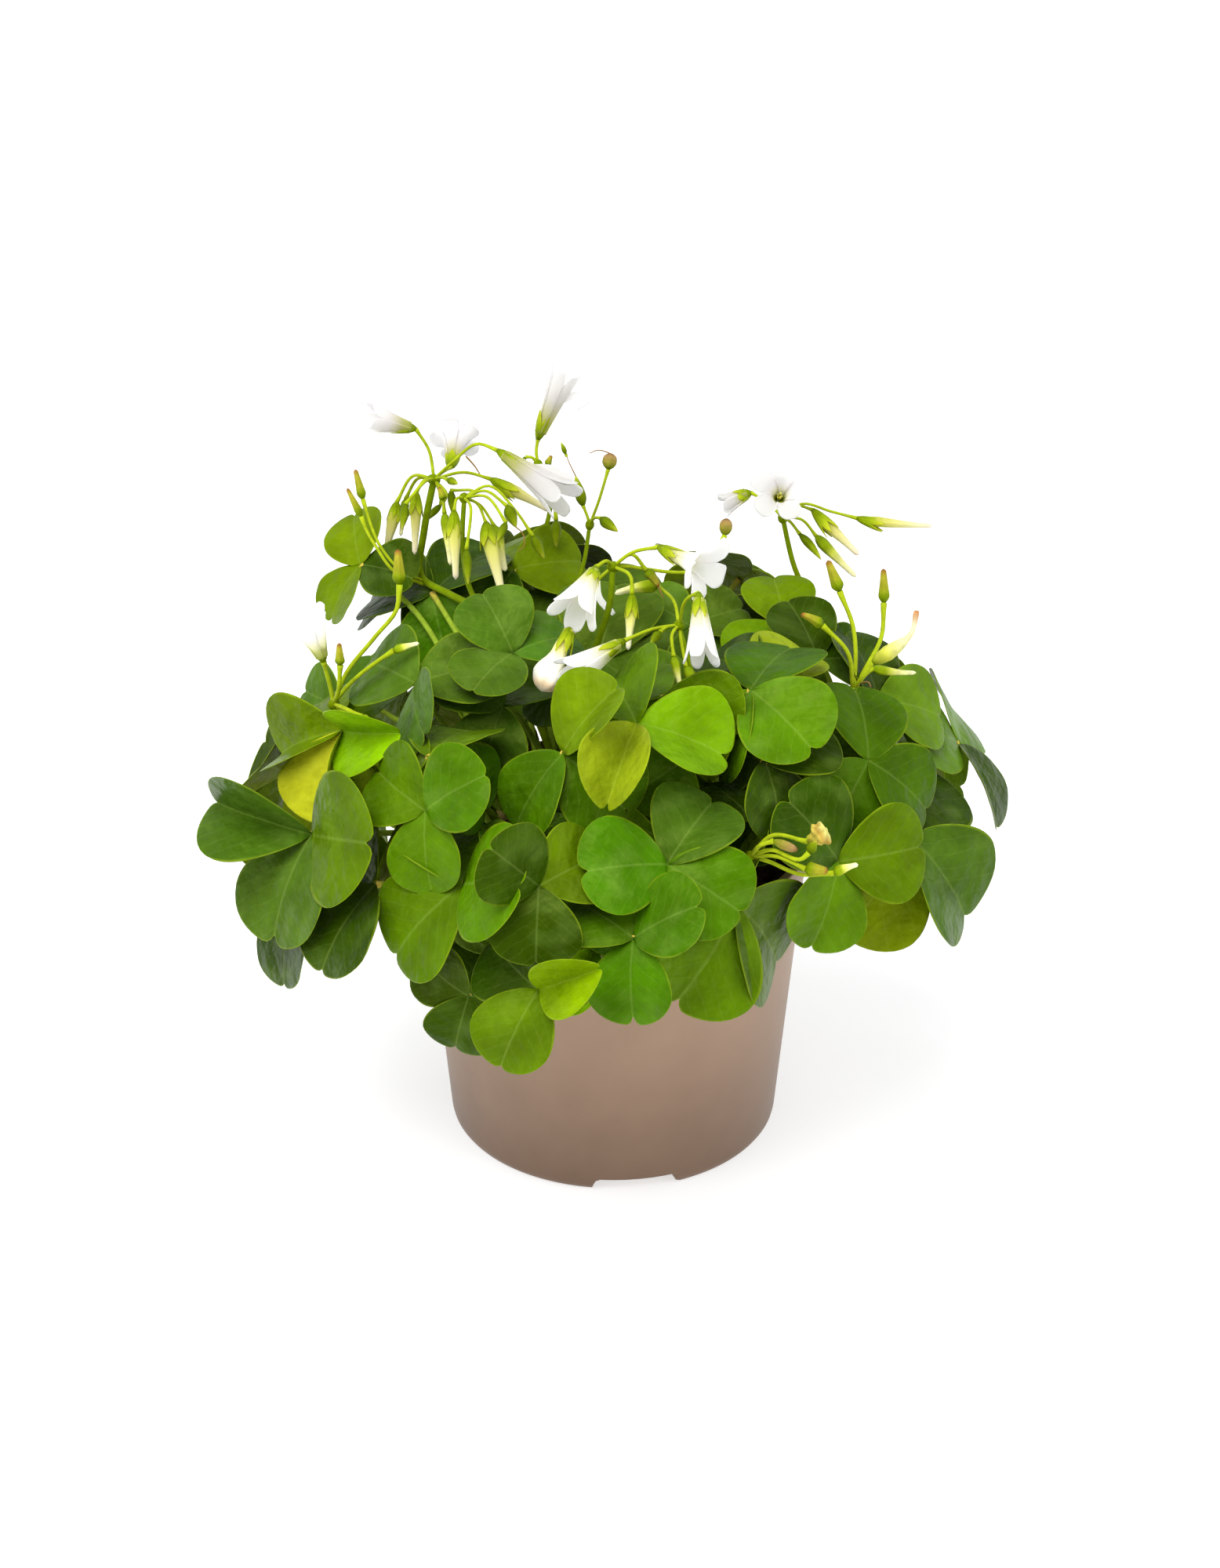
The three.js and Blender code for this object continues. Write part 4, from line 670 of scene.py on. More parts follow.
def add_stalk(growth, points, radii, sides, colour):
    """Adds a round stalk of one colour along the smooth path through its points, with a ring of
    each radius at even stations."""
    growth.add(stem(smooth_path(points, len(radii)), radii, sides), linear(colour))


def ring_tints(colours, sides):
    """A colour for each point of a skin, from one for each of its rings: its ends have those of
    the first and the last."""
    tints = np.repeat(colours, sides, 0)
    return np.concatenate([tints, tints[:1], tints[-1:]])


def blade_shell(upper, lower):
    """Closes two grids of points, the faces of a blade, with quads round their rim. The upper
    grid's rows and columns turn right-handed about its own side."""
    rows, columns = upper.shape[:2]
    index = np.arange(rows * columns).reshape(rows, columns)
    top = np.stack([index[:-1, :-1], index[:-1, 1:], index[1:, 1:], index[1:, :-1]], -1).reshape(-1, 4)
    bottom = (top + rows * columns)[:, ::-1]
    rim = np.concatenate([index[0, :-1], index[:-1, -1], index[-1, :0:-1], index[:0:-1, 0]])
    rim_under = rim + rows * columns
    edge = np.stack([rim, rim_under, np.roll(rim_under, -1), np.roll(rim, -1)], -1)
    points = np.concatenate([upper.reshape(-1, 3), lower.reshape(-1, 3)])
    return points, np.concatenate([top, bottom, edge]), np.zeros((0, 3), int)


# Columns crowd at the notch and at the sides, and the last step of either is the margin, painted pale as a
# glow of light through the thin edge.
column = np.linspace(-1, 1, BLADE_ACROSS)
blade_u = np.sign(column) * 0.5 * (1 - np.cos(math.pi * np.abs(column)))
blade_u = np.concatenate([[-1], blade_u * (1 - MARGIN), [1]])[None, :]
blade_v = np.concatenate([np.linspace(0, 1 - MARGIN, BLADE_ALONG), [1]])[:, None]


def leaflet(growth, hub, shape, tint, painted_sheen, pucker, crease, random):
    """One leaflet. Its sides open from a narrow heel as a sine of the way along, and its far
    edge is a rounded arc with a small nick, so both meet square at the shoulders. It arches
    along, folds up from the midrib, and is puckered between its veins."""
    length = shape["length"]
    lobe = random.uniform(0.36, 0.44)
    nick = random.uniform(0.04, 0.11)
    nick_width = random.uniform(0.05, 0.09)
    bulge = random.uniform(0.62, 0.78)
    far = (1.03 - lobe + lobe * np.sqrt(1 - np.abs(blade_u) ** 2.3)
           - nick * np.exp(-(np.abs(blade_u) / nick_width) ** 1.3))
    half = 0.04 + 0.96 * np.sin(blade_v * math.pi / 2) ** bulge
    x = blade_u * half * random.uniform(0.94, 1.0)
    y = blade_v * far
    lift = ARCH * 4 * y * (1 - y) + FOLD * (np.sqrt(x ** 2 + 0.01) - 0.1)
    lift = lift + HALF_WIDTH * (np.sqrt(x ** 2 + 0.004) - 0.063) * math.sin(crease)
    flat = np.stack([x * HALF_WIDTH * length, y * length], -1)
    hills = ripples(flat, HILL_LENGTHS, random) * 0.28 + ripples(flat, PUCKER_LENGTHS, random) * 0.12
    veins = np.abs(np.sin(math.pi * (y - 0.45 * np.abs(x)) * 6.5))
    margin = np.clip(np.maximum(np.abs(x) - 0.5, 0) * 2, 0, 1) ** 2
    wave = np.sin(2 * math.pi * 1.7 * y + random.uniform(0, 6.28)) * margin * np.sign(x) * 0.45
    body = np.sin(math.pi * np.clip(y, 0, 1)) * (1 - 0.6 * np.abs(x) ** 2)
    lift = lift * length + pucker * (hills + 0.10 * veins) * body + wave * (0.4 + 0.6 * pucker)
    place = (hub + x[..., None] * HALF_WIDTH * length * math.cos(crease) * shape["across"]
             + y[..., None] * length * shape["way"] + lift[..., None] * shape["facing"])
    down, side = np.gradient(place, axis=0), np.gradient(place, axis=1)
    normal = unit(np.cross(side, down) + 1e-9 * shape["facing"])
    normal *= np.sign((normal * shape["facing"]).sum(-1))[..., None]
    thick = FINE_BLADE * (1 - 0.55 * np.maximum(np.abs(blade_u), blade_v) ** 8)[..., None]
    shell = blade_shell(place + normal * thick / 2, place - normal * thick / 2)
    rim = (np.maximum(np.abs(blade_u), blade_v) > 1 - MARGIN / 2)[..., None]
    shade = 1 + 0.14 * ripples(flat, SHADE_LENGTHS, random)[..., None]
    # Patches of painted sheen, greyish where the light would be thrown back
    waxed = painted_sheen * np.clip(ripples(flat, PAINTED_SHEEN_LENGTHS, random) * 1.4, 0, 1)[..., None]
    top_tint = tint * shade * (1 - waxed) + rgb(PAINTED_SHEEN_COLOUR) * waxed
    # The margin is painted paler: a painted glow of light through the thin edge
    top_tint = np.where(rim, 0.5 * tint + 0.5 * rgb(LEAF_RIM_PAINTED_GLOW), top_tint)
    under_tint = (0.6 * tint + 0.4 * rgb(UNDERSIDE)) * np.ones_like(shade)
    tints = np.concatenate([top_tint.reshape(-1, 3), under_tint.reshape(-1, 3)])
    spots = np.stack([x / 2 + 0.5, y], -1).reshape(-1, 2)
    growth.add(shell, tints, np.concatenate([spots, spots]))


def mottled_tint(tree, place, spread, **noise):
    """Adds nodes for a piece's own colours in lighter and darker spots: the colour of each point
    times a factor within a spread of 1, read off a noise. Gives the socket of the result."""
    tint = add_node(tree, "Attribute", attribute_name="tint")
    mottle = add_node(tree, "TexNoise", {"Vector": place, **noise})
    shade = add_node(tree, "MapRange", {0: mottle.outputs["Fac"], 1: 0.3, 2: 0.7,
                                        3: 1 - spread, 4: 1 + spread})
    mottled = add_node(tree, "VectorMath", {0: tint.outputs["Color"], "Scale": shade.outputs[0]},
                       operation="SCALE")
    return mottled.outputs[0]


leaf_tissue, tree, surface = new_material(
    "leaf blade, waxed living tissue", Roughness=0.38, IOR=1.42, Specular_IOR_Level=0.2,
    Specular_Tint=linear(LEAF_SHEEN))
# Each leaf has its own green, mottled in spots of about 4 mm. The veins are fine lines, a little
# lighter than the blade and pressed into it: a midrib, and side veins that leave it at a slant.
# The skin has blisters of 6 mm, and cells that are drawn 1 mm wide, coarser than they are, to show.
pattern = add_node(tree, "UVMap", uv_map="pattern")
split = add_node(tree, "SeparateXYZ", {0: pattern.outputs[0]})
centred = add_node(tree, "Math", {0: split.outputs["X"], 1: 0.5}, operation="SUBTRACT")
apart = add_node(tree, "Math", {0: centred.outputs[0]}, operation="ABSOLUTE")
slanted = add_node(tree, "Math", {0: apart.outputs[0], 1: -0.9, 2: split.outputs["Y"]},
                   operation="MULTIPLY_ADD")
wander = add_node(tree, "TexNoise", {"Vector": pattern.outputs[0], "Scale": 7.0, "Detail": 2.0})
bent = add_node(tree, "Math", {0: wander.outputs["Fac"], 1: 0.12, 2: slanted.outputs[0]},
                operation="MULTIPLY_ADD")
side_veins = add_node(tree, "Math", {0: bent.outputs[0], 1: 0.077}, operation="PINGPONG")
side_line = add_node(tree, "MapRange", {0: side_veins.outputs[0], 1: 0.0, 2: 0.012, 3: 1.0, 4: 0.0},
                     interpolation_type="SMOOTHSTEP")
midrib = add_node(tree, "MapRange", {0: apart.outputs[0], 1: 0.004, 2: 0.02, 3: 1.0, 4: 0.0},
                  interpolation_type="SMOOTHSTEP")
veined = add_node(tree, "Math", {0: side_line.outputs[0], 1: 0.45, 2: midrib.outputs[0]},
                  operation="MULTIPLY_ADD", use_clamp=True)
place = add_node(tree, "TexCoord").outputs["Object"]
mottled = mottled_tint(tree, place, 0.12, Scale=260.0, Detail=5.0, Roughness=0.6)
vein_share = add_node(tree, "Math", {0: veined.outputs[0], 1: 0.07}, operation="MULTIPLY")
coloured = add_node(tree, "Mix", {"Factor": vein_share.outputs[0], 6: mottled, 7: linear(VEIN_COLOUR)},
                    data_type="RGBA")
tree.links.new(coloured.outputs[2], surface.inputs["Base Color"])
cells = add_node(tree, "TexNoise", {"Vector": place, "Scale": 900.0, "Detail": 3.0})
height = add_node(tree, "Math", {0: veined.outputs[0], 1: -0.6, 2: cells.outputs["Fac"]},
                  operation="MULTIPLY_ADD")
blisters = add_node(tree, "TexNoise", {"Vector": place, "Scale": 170.0, "Detail": 2.0})
waves = add_node(tree, "Bump", {"Strength": 0.6, "Distance": 0.0025, "Height": blisters.outputs["Fac"]})
relief = add_node(tree, "Bump", {"Strength": 0.25, "Distance": 0.0003, "Height": height.outputs[0],
                                 "Normal": waves.outputs[0]})
tree.links.new(relief.outputs[0], surface.inputs["Normal"])

stem_tissue, tree, surface = new_material(
    "stem skin, fresh green tissue", Roughness=0.5, IOR=1.42, Specular_IOR_Level=0.16,
    Specular_Tint=linear(LEAF_SHEEN))
# Plainer and duller than the blade, with its green mottled in spots of 2 mm
place = add_node(tree, "TexCoord").outputs["Object"]
tree.links.new(mottled_tint(tree, place, 0.15, Scale=500.0, Detail=3.0), surface.inputs["Base Color"])


def seen_at(point):
    """Where a point is seen: mm across and mm up from the middle of the plant, over the share of
    the sight distance at which it lies."""
    arm = point - SIGHT_MIDDLE
    scale = 1 - (arm @ TOWARD) / SIGHT_RANGE
    return np.array([arm @ ACROSS, arm @ UP]) / scale


def tone_at(table, point):
    """What a table gives for the place where a point is seen, or None where no place is near."""
    spot = seen_at(point)
    away, row = min((math.dist(spot, place), row) for row, places in table.items() for place in places)
    return row if away < TONE_REACH and point @ TOWARD > SEEN_DEPTH else None


crown_heights, crown_radii = zip(*CROWN_PROFILE)
leaf_number = 0
for clump in sorted(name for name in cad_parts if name.startswith("leaf_clump_")):
    corners, beside = solid_net(clump)
    over_soil = corners[np.hypot(corners[:, 0], corners[:, 1]) < ROOT_CIRCLE]
    foot = above_foot(over_soil, ROOT_TOP)
    blades, petioles = Growth(), Growth()
    crown_path = np.array([[*foot[:2], height] for height in crown_heights])
    petioles.add(stem(crown_path, crown_radii, CROWN_SIDES), linear(CROWN_COLOUR))
    for leaf in leaves_on(corners, beside):
        spare = HIDDEN_TONES[leaf_number % len(HIDDEN_TONES)], HIDDEN_PUCKER
        of_leaf = tone_at(LEAF_TONES, leaf["hub"]) or spare
        leaf_number += 1
        for shape in leaf["leaflets"]:
            middle = leaf["hub"] + shape["way"] * shape["length"] * FAN_CENTRE
            tone, pucker, crease = tone_at(LEAFLET_TONES, middle) or (*of_leaf, 0.0)
            shift = leaf_random.uniform(0.9, 1.1, 3) * leaf_random.uniform(0.9, 1.1)
            painted_sheen = PAINTED_SHEEN_SHARE if tone in PAINTED_SHEEN_TONES else FAINT_SHEEN_SHARE
            leaflet(blades, leaf["hub"], shape, rgb(TONES[tone]) * shift, painted_sheen, pucker, crease, leaf_random)
        knots = leaf["petiole"]
        if knots[-1][2] > CROWN_TOP:
            knots = knots + [foot]
        knots[0] = knots[0] - leaf["leaflets"][0]["facing"] * PETIOLE_SINK
        path = smooth_path(knots, PETIOLE_STATIONS)[::-1]
        share = np.linspace(0, 1, PETIOLE_STATIONS)
        radii = np.linspace(*PETIOLE_RADIUS, PETIOLE_STATIONS)
        radii = radii + PETIOLE_SWELLING * np.exp(-((share - 1) / 0.03) ** 2)
        hub_share = share[:, None] ** 24
        tints = rgb(PETIOLE_COLOUR) * (1 - hub_share) + rgb(HUB_COLOUR) * hub_share
        petioles.add(stem(path, radii, PETIOLE_SIDES), ring_tints(tints, PETIOLE_SIDES))
    blades.piece(clump.replace("clump", "blades"), leaf_tissue, "leaf", clump)
    petioles.piece(clump.replace("leaf_clump", "petioles"), stem_tissue, "stalk", clump)

# ---- Flower umbels ----
# Each stalk ends in a small knob with a ring of thin pedicels. A pedicel carries a green bud
# or a calyx of five sepals, which holds a white flower. Old heads dry to brown.
STALK_FOOT_RADIUS = 1.25
STALK_STATIONS = 48
STALK_SIDES = 12
SOLID_STALK_SIDE = 1.3 * math.sqrt(3)
SIDE_SLACK = 0.02
KNOT_GAP = 1  # points of a stalk keep this far apart
KNOB_GAP = 2.5  # and this far from its knob
PEDICEL_STATIONS = 18
PEDICEL_SIDES = 8
THREAD_STATIONS = 14
THREAD_SIDES = 6
THREAD_TAPER = 0.6
STAMEN_RADII = (0.12, 0.12, 0.12, 0.3, 0.28)
FLOWER_PARTS = 5  # the sepals of a calyx, the petals and the stamens of a flower
SEPAL_GRID = (9, 7)  # points along it and across it
PETAL_GRID = (22, 13)
CURLED_GRID = (14, 7)
THIN_HALF = 0.1  # half the thickness of a sepal or petal
WIDE_FLOWER = 7.5  # a flower larger than this lies open, a smaller one is a bell
BELL_TUBE = 1.6  # the radius at which a bell starts
# A wide flower's form at shares of its length: how far out it stands, in mm and as a share of
# its size, and how far along it is
WIDE_FORM = ((0, 1.4, 0, 0), (0.35, 2.2, 0, 0.5), (0.55, 3.2, 0, 0.75), (0.7, 0, 0.5, 0.9),
             (0.85, 0, 0.8, 1), (1, 0, 1.02, 1.02))
CALYX_RADIUS = {"open": 2.1, "wilting": 2.2}
TUBE_CALYX = 1.12  # a tube's calyx is this times its own radius
CALYX_REACH = 1.2  # how far the sepals run, as a share of the calyx
CALYX_DEPTH = 0.3  # where the petals start, as a share of the calyx
STALK_COLOUR = "6c8206"
PEDICEL_COLOUR = "9eae1a"
SEPAL_BASE = "687c02"
SEPAL_MIDDLE = "83980e"
SEPAL_TIP = "b4ba28"
THREAD_COLOUR = "8a6a3a"
STAMEN_COLOUR = "cfca40"
PETAL_SHADES = ((0, "b9c63c"), (0.22, "d9da78"), (0.4, "f1edc8"), (0.55, "fbf7f3"), (1, "fffcfb"))
PETAL_VEIN = "d2d0c4"
# Painted shade for the umbels whose white petals are seen greyer: how much of their colour each keeps
PETAL_PAINTED_SHADE = {
    "t": (0.7, 0.69, 0.67), "a": (0.66, 0.64, 0.63), "b": (0.78, 0.77, 0.72), "f": (0.68, 0.66, 0.66),
}
# Each umbel: its name, how many mm nearer than the plant's middle it is, its knob as mm across
# and mm up, the radii of its stalk and of its pedicels, and its heads. A head is its kind, its
# size, then points as mm across, mm up and mm nearer than the knob: those of its pedicel, the
# end of its calyx where it is a flower, and its tip or mouth.
UMBELS = [
    ("a", -16, (-52.5, 91), 1.05, 0.5, [
        ("open", 4.6, (-54, 99.5, 2), (-58, 106, 6), (-64, 107, 8), (-72.5, 109.5, 12)),
        ("open", 6, (-47, 96, 6), (-39, 101.5, 12), (-33.5, 99.5, 14), (-26.5, 94.5, 17), (-13, 84.5, 23)),
        ("tube", 1.9, (-43.5, 93, -2), (-35.5, 91, -3), (-29, 87, -4), (-18, 81.5, -5)),
        ("open", 8, (-50, 93, -8), (-47.5, 94.5, -13), (-47, 97.5, -17), (-46, 103, -25)),
        ("tube", 1.7, (-55.5, 90.5, 4), (-57.8, 87, 6), (-58, 81, 6), (-58.3, 68.5, 6)),
        ("tube", 1.9, (-58.5, 92, -3), (-63.7, 84, -6), (-64.3, 79, -7), (-67, 69, -8)),
        ("bud", 1.4, (-55.5, 90, 8), (-61, 83.5, 11), (-62, 76, 12)),
        ("bud", 1.2, (-49.8, 91.4, 7), (-48.4, 90.8, 10), (-45.4, 89.6, 13)),
        ("capsule", 1.2, (-49, 85.4, 8), (-49.6, 84.7, 9), (-51, 88.6, 9)),
        ("closed", 1.5, (-50, 86, 4), (-49.4, 80.8, 5), (-47.6, 65.3, 5)),
        ("bud", 1.1, (-50.5, 86, -4), (-50.4, 83.3, -5), (-55.4, 78.2, -5)),
        ("closed", 1.3, (-57.5, 91, -5), (-61, 85, -8), (-62.5, 74, -9)),
        ("thread", 0.3, (-43, 97.8, -2), (-40.5, 95, -2.5), (-38.3, 91.6, -3)),
        ("side capsule", 1.35, (-55.4, 60.4, -3.5), (-63.9, 65, 3), (-68.6, 71, 3), (-72.1, 79.5, 2),
         (-73.7, 84.9, 1), (-76, 93.8, 0)),
        ("side capsule", 1.15, (-55.4, 59.4, -3.5), (-65.5, 64.5, 4), (-69.6, 70.5, 4), (-72.5, 75.4, 3),
         (-74.2, 79.8, 3), (-78.4, 88.2, 2))]),
    ("b", -2, (-43.5, 85.5), 0.7, 0.45, [
        ("tube", 1.9, (-45.8, 85, 4), (-46.5, 81.5, 6), (-46.6, 74.5, 6), (-46, 61, 6)),
        ("bud", 1.9, (-37.5, 87.5, 4), (-30.7, 83, 9), (-28, 76.5, 9)),
        ("tube", 2.3, (-40, 84, -2), (-37, 78, 0), (-36, 71.5, 2), (-32, 55.7, 4)),
        ("bud", 1.3, (-36.5, 85.5, 8), (-31, 78, 12), (-33.7, 72.3, 14)),
        ("bud", 1.4, (-41.5, 82, 10), (-42.8, 70, 11), (-42.3, 59.5, 12)),
        ("bud", 1.5, (-36.5, 89, 0), (-28.5, 82, 2), (-23, 74, 3), (-19.6, 67.2, 3)),
        ("bud", 1.3, (-41, 87.5, -5), (-47.5, 87.6, -9), (-46.6, 79.6, -10)),
        ("closed", 2, (-38.5, 83, -5), (-34.5, 77, -5), (-31.2, 63.5, -4)),
        ("thread", 0.22, (-28, 76.6, 9), (-26.2, 75, 9), (-25.8, 70.8, 9), (-27.3, 69.4, 9))]),
    ("t", -34, (-21.5, 95.5), 0.62, 0.5, [
        ("open", 4.5, (-22, 99.5, 0), (-21.5, 102.8, 0), (-19.3, 109.5, 2), (-13, 123.5, 6)),
        ("capsule", 1.1, (-19.8, 95, 2), (-18.8, 95.3, 3), (-17.5, 98, 4)),
        ("bud", 1.6, (-17, 90, 10), (-16.1, 78.7, 12), (-16, 70.6, 12)),
        ("bud", 0.6, (-23.5, 97.5, 1), (-25.2, 97.6, 1), (-26.4, 96.2, 1))]),
    ("c", -14, (-6, 77.5), 0.6, 0.45, [
        ("bud", 1.7, (-7, 80.5, 0), (-8, 83, 0), (-10.3, 92, 0)),
        ("spent", 2.1, (-3.5, 84, 4), (-0.5, 94, 8), (0.3, 98.7, 8)),
        ("bud", 1.7, (-4, 79.5, 5), (-2.8, 79.3, 6), (2.4, 75.3, 10)),
        ("thread", 0.2, (-10.2, 91.8, 0), (-12.4, 96.4, 0), (-13.3, 98.9, 0)),
        ("side bud", 0.75, (-12.9, 97.6, 0), (-13.2, 98.4, 0), (-14.6, 102, 0)),
        ("thread", 0.22, (0.2, 98.5, 8), (-1.4, 99.2, 8), (-3.7, 99.6, 8), (-6.1, 98.7, 8))]),
    ("d", 36, (1, 65), 0.92, 0.55, [
        ("open", 7, (-1, 66.5, 3), (-4.2, 64.7, 6), (-5.7, 60.7, 9), (-11.5, 50, 15)),
        ("open", 10, (6.5, 69, 3), (14.5, 70.7, 7), (20, 67.7, 12), (29, 64, 17)),
        ("tube", 1.6, (6.4, 61, 8), (6.6, 56.7, 8), (6.4, 50.5, 8), (5.4, 40, 8)),
        ("wilting", 4, (-3.5, 61, 0), (-11.3, 48.5, 6), (-14, 40, 10), (-20.5, 27.8, 12)),
        ("capsule", 1.6, (6.5, 68.5, -1), (10.8, 63.8, -3), (14.5, 59, -4)),
        ("spent", 1.8, (30, 66.5, -9), (34.3, 74.3, -8), (34.8, 79.3, -8)),
        ("thread", 0.3, (14.4, 59.1, -4), (15, 57.4, -4), (16.1, 55.4, -4))]),
    ("e", 44, (20.5, 47.5), 0.7, 0.5, [
        ("open", 5.4, (13, 46.3, 4), (4.2, 42.8, 8), (-2.3, 38.8, 12), (-13, 32, 17)),
        ("open", 4.8, (24, 56, 11), (26.4, 57, 13), (26.7, 50.3, 16), (27.4, 36.5, 20)),
        ("closed", 1.3, (18.5, 44.5, 4), (19, 38, 6), (21.3, 27.5, 7)),
        ("closed", 1.7, (21.7, 40, 1), (22.7, 35, 2), (28.5, 22, 2)),
        ("bud", 1.3, (16.8, 46.8, 2), (15, 45.4, 4), (12, 41.6, 5)),
        ("closed", 1.9, (19.3, 54, -7), (14.3, 59.2, -18), (1.5, 56.8, -20))]),
    ("f", 2, (51.5, 79.5), 0.72, 0.45, [
        ("open", 9, (51, 82, 2), (50, 84, 6), (51, 86, 10), (51, 87.5, 19)),
        ("open", 3.4, (47.5, 83.5, -2), (42, 87, -6), (38, 85.4, -6), (33.5, 83, -6)),
        ("tube", 1.5, (57, 83.5, 2), (66, 81.3, 4), (73.7, 79.3, 6), (80.5, 77.3, 7), (96.4, 77, 8)),
        ("tube", 1.8, (56, 83, 6), (60.5, 81.8, 10), (65.7, 76, 12), (74.3, 68.3, 13)),
        ("bud", 1.3, (54, 78, 6), (56.6, 74.6, 9), (63, 66.9, 12)),
        ("closed", 1.7, (57.5, 78.7, -4), (61.5, 74, -5), (73.4, 61.8, -5))]),
    ("g", 28, (72.5, 28), 0.85, 0.65, [
        ("capsule", 1.8, (73.3, 37.5, 0), (72.5, 47, 0), (68.5, 57.5, 2), (65, 66.7, 2)),
        ("capsule", 1.6, (76.5, 35, -3), (81, 44, -6), (81.7, 54, -7), (81.6, 64.2, -8)),
        ("withered", 2.3, (76, 33, 4), (78.4, 36.3, 5), (84, 39.8, 7), (90, 45.2, 10), (91.5, 51.6, 12)),
        ("closed", 1.4, (76.5, 33, -2), (78.2, 34.5, -3), (91.3, 33.2, -5)),
        ("capsule", 1.6, (70.5, 40, 8), (63.4, 47.3, 10), (57, 50.7, 11)),
        ("thread", 0.3, (73, 29.2, 1), (75.5, 30.4, 3), (77.3, 30.2, 4), (77.8, 28.8, 4))]),
    ("h", 30, (-82.5, 24), 0.85, 0.65, [
        ("capsule", 1.9, (-79, 32.5, 0), (-70, 44, 0), (-63.5, 52.5, 1), (-62.8, 59.5, 2), (-63.3, 70, 2)),
        ("closed", 1.3, (-77.5, 30, 4), (-69.5, 36.5, 7), (-64.5, 39.8, 9), (-57, 42, 10)),
        ("open", 6, (-83.5, 29, 2), (-85.5, 36.5, 6), (-87, 41.5, 8), (-91, 50.5, 13)),
        ("capsule", 1.4, (-81, 28, 7), (-80.5, 35.5, 10), (-80.8, 42, 12)),
        ("closed", 1.5, (-78, 22, 8), (-74, 20, 11), (-69, 16.3, 13)),
        ("closed", 1.6, (-78, 20.5, 3), (-70, 16, 6), (-62.3, 12.6, 8), (-53.6, 11.7, 9))]),
    ("i", 74, (42, -21.5), 0.8, 0.6, [
        ("crumpled", 3, (48, -15.5, 1), (59, -17.2, 3), (64.5, -13.5, 5)),
        ("capsule", 2, (50.5, -21.8, 6), (58.3, -25.3, 7), (65, -26, 7)),
        ("closed", 1.5, (47, -23, 1), (57, -27, 2), (66.8, -26.6, 3), (74, -24, 3)),
        ("spent", 1.3, (45.5, -18, 7), (48.8, -17, 8), (56, -19.8, 9)),
        ("bud", 1.5, (48.5, -19.7, 6), (57.5, -22.2, 8), (59.3, -20.6, 8), (61.5, -17, 7))]),
]
# Each kind of closed head: its radius and its colour, each given at shares of its length, and
# how deep its ribs are
HEAD_FORMS = {
    "bud": (
        [(0, 0.3), (0.08, 0.62), (0.2, 0.9), (0.35, 1), (0.55, 0.86), (0.75, 0.58), (0.9, 0.32), (1, 0.06)],
        [(0, "506403"), (0.4, "617405"), (0.75, "7f8f12"), (1, "acb036")], 0.05),
    "capsule": (
        [(0, 0.3), (0.06, 0.62), (0.14, 0.93), (0.22, 1), (0.4, 0.84), (0.65, 0.66), (0.9, 0.5),
         (0.97, 0.42), (1, 0.1)],
        [(0, "627804"), (0.2, "70840a"), (0.4, "8d9020"), (0.8, "9c942c"), (0.93, "8e6628"),
         (1, "784c24")], 0.1),
    "closed": (
        [(0, 0.35), (0.06, 0.75), (0.16, 1), (0.3, 0.95), (0.5, 0.72), (0.7, 0.52), (0.88, 0.45),
         (0.96, 0.4), (1, 0.1)],
        [(0, "6f8808"), (0.3, "8ca012"), (0.42, "c4ca4c"), (0.62, "e2e08e"), (1, "efe9bc")], 0.08),
    "tube": (
        [(0, 0.6), (0.12, 0.95), (0.22, 1), (0.4, 0.88), (0.6, 0.66), (0.8, 0.5), (0.93, 0.47),
         (0.98, 0.36), (1, 0.08)],
        [(0, "a9ba22"), (0.2, "c8cd48"), (0.45, "e2de84"), (0.8, "efe9b4"), (1, "f0dfc4")], 0.06),
    "wilting": (
        [(0, 0.42), (0.2, 0.46), (0.4, 0.56), (0.6, 0.86), (0.75, 1), (0.88, 0.88), (0.97, 0.5), (1, 0.1)],
        [(0, "cfce40"), (0.3, "e8df80"), (0.55, "f8f2d2"), (0.82, "fbf4e4"), (0.93, "f0cfa0"),
         (1, "f6e8d0")], 0.14),
    "spent": (
        [(0, 0.35), (0.12, 0.72), (0.35, 1), (0.6, 1), (0.8, 0.85), (0.93, 0.5), (1, 0.12)],
        [(0, "6f7c12"), (0.4, "8c8232"), (0.8, "94774a"), (1, "745230")], 0.09),
    "crumpled": (
        [(0, 0.25), (0.2, 0.5), (0.4, 0.85), (0.6, 1), (0.8, 0.9), (0.95, 0.6), (1, 0.15)],
        [(0, "8f9a20"), (0.25, "ada03a"), (0.55, "c6b650"), (0.75, "a8863a"), (1, "d8d478")], 0.3),
    "withered": (
        [(0, 0.3), (0.08, 0.75), (0.25, 1), (0.42, 0.8), (0.6, 0.38), (0.8, 0.3), (0.95, 0.4), (1, 0.3)],
        [(0, "8a9c18"), (0.25, "c9c84c"), (0.5, "e2de9c"), (0.8, "ead9b0"), (1, "c08450")], 0),
}
FLOWER_KINDS = ("open", "tube", "wilting")  # the kinds that stand in a calyx
HEAD_ROWS = 20
HEAD_SIDES = 20
WITHERED_PEDICEL = 12  # stations
WITHERED_STATIONS = 26
WITHERED_SIDES = 12
bloom_random = np.random.default_rng(9)


def seen(across, up, near):
    """The place that is seen at mm across and mm up, so many mm nearer than the middle: the two
    times the share of the sight distance at which it lies."""
    scale = 1 - near / SIGHT_RANGE
    return SIGHT_MIDDLE + across * scale * ACROSS + up * scale * UP + near * TOWARD


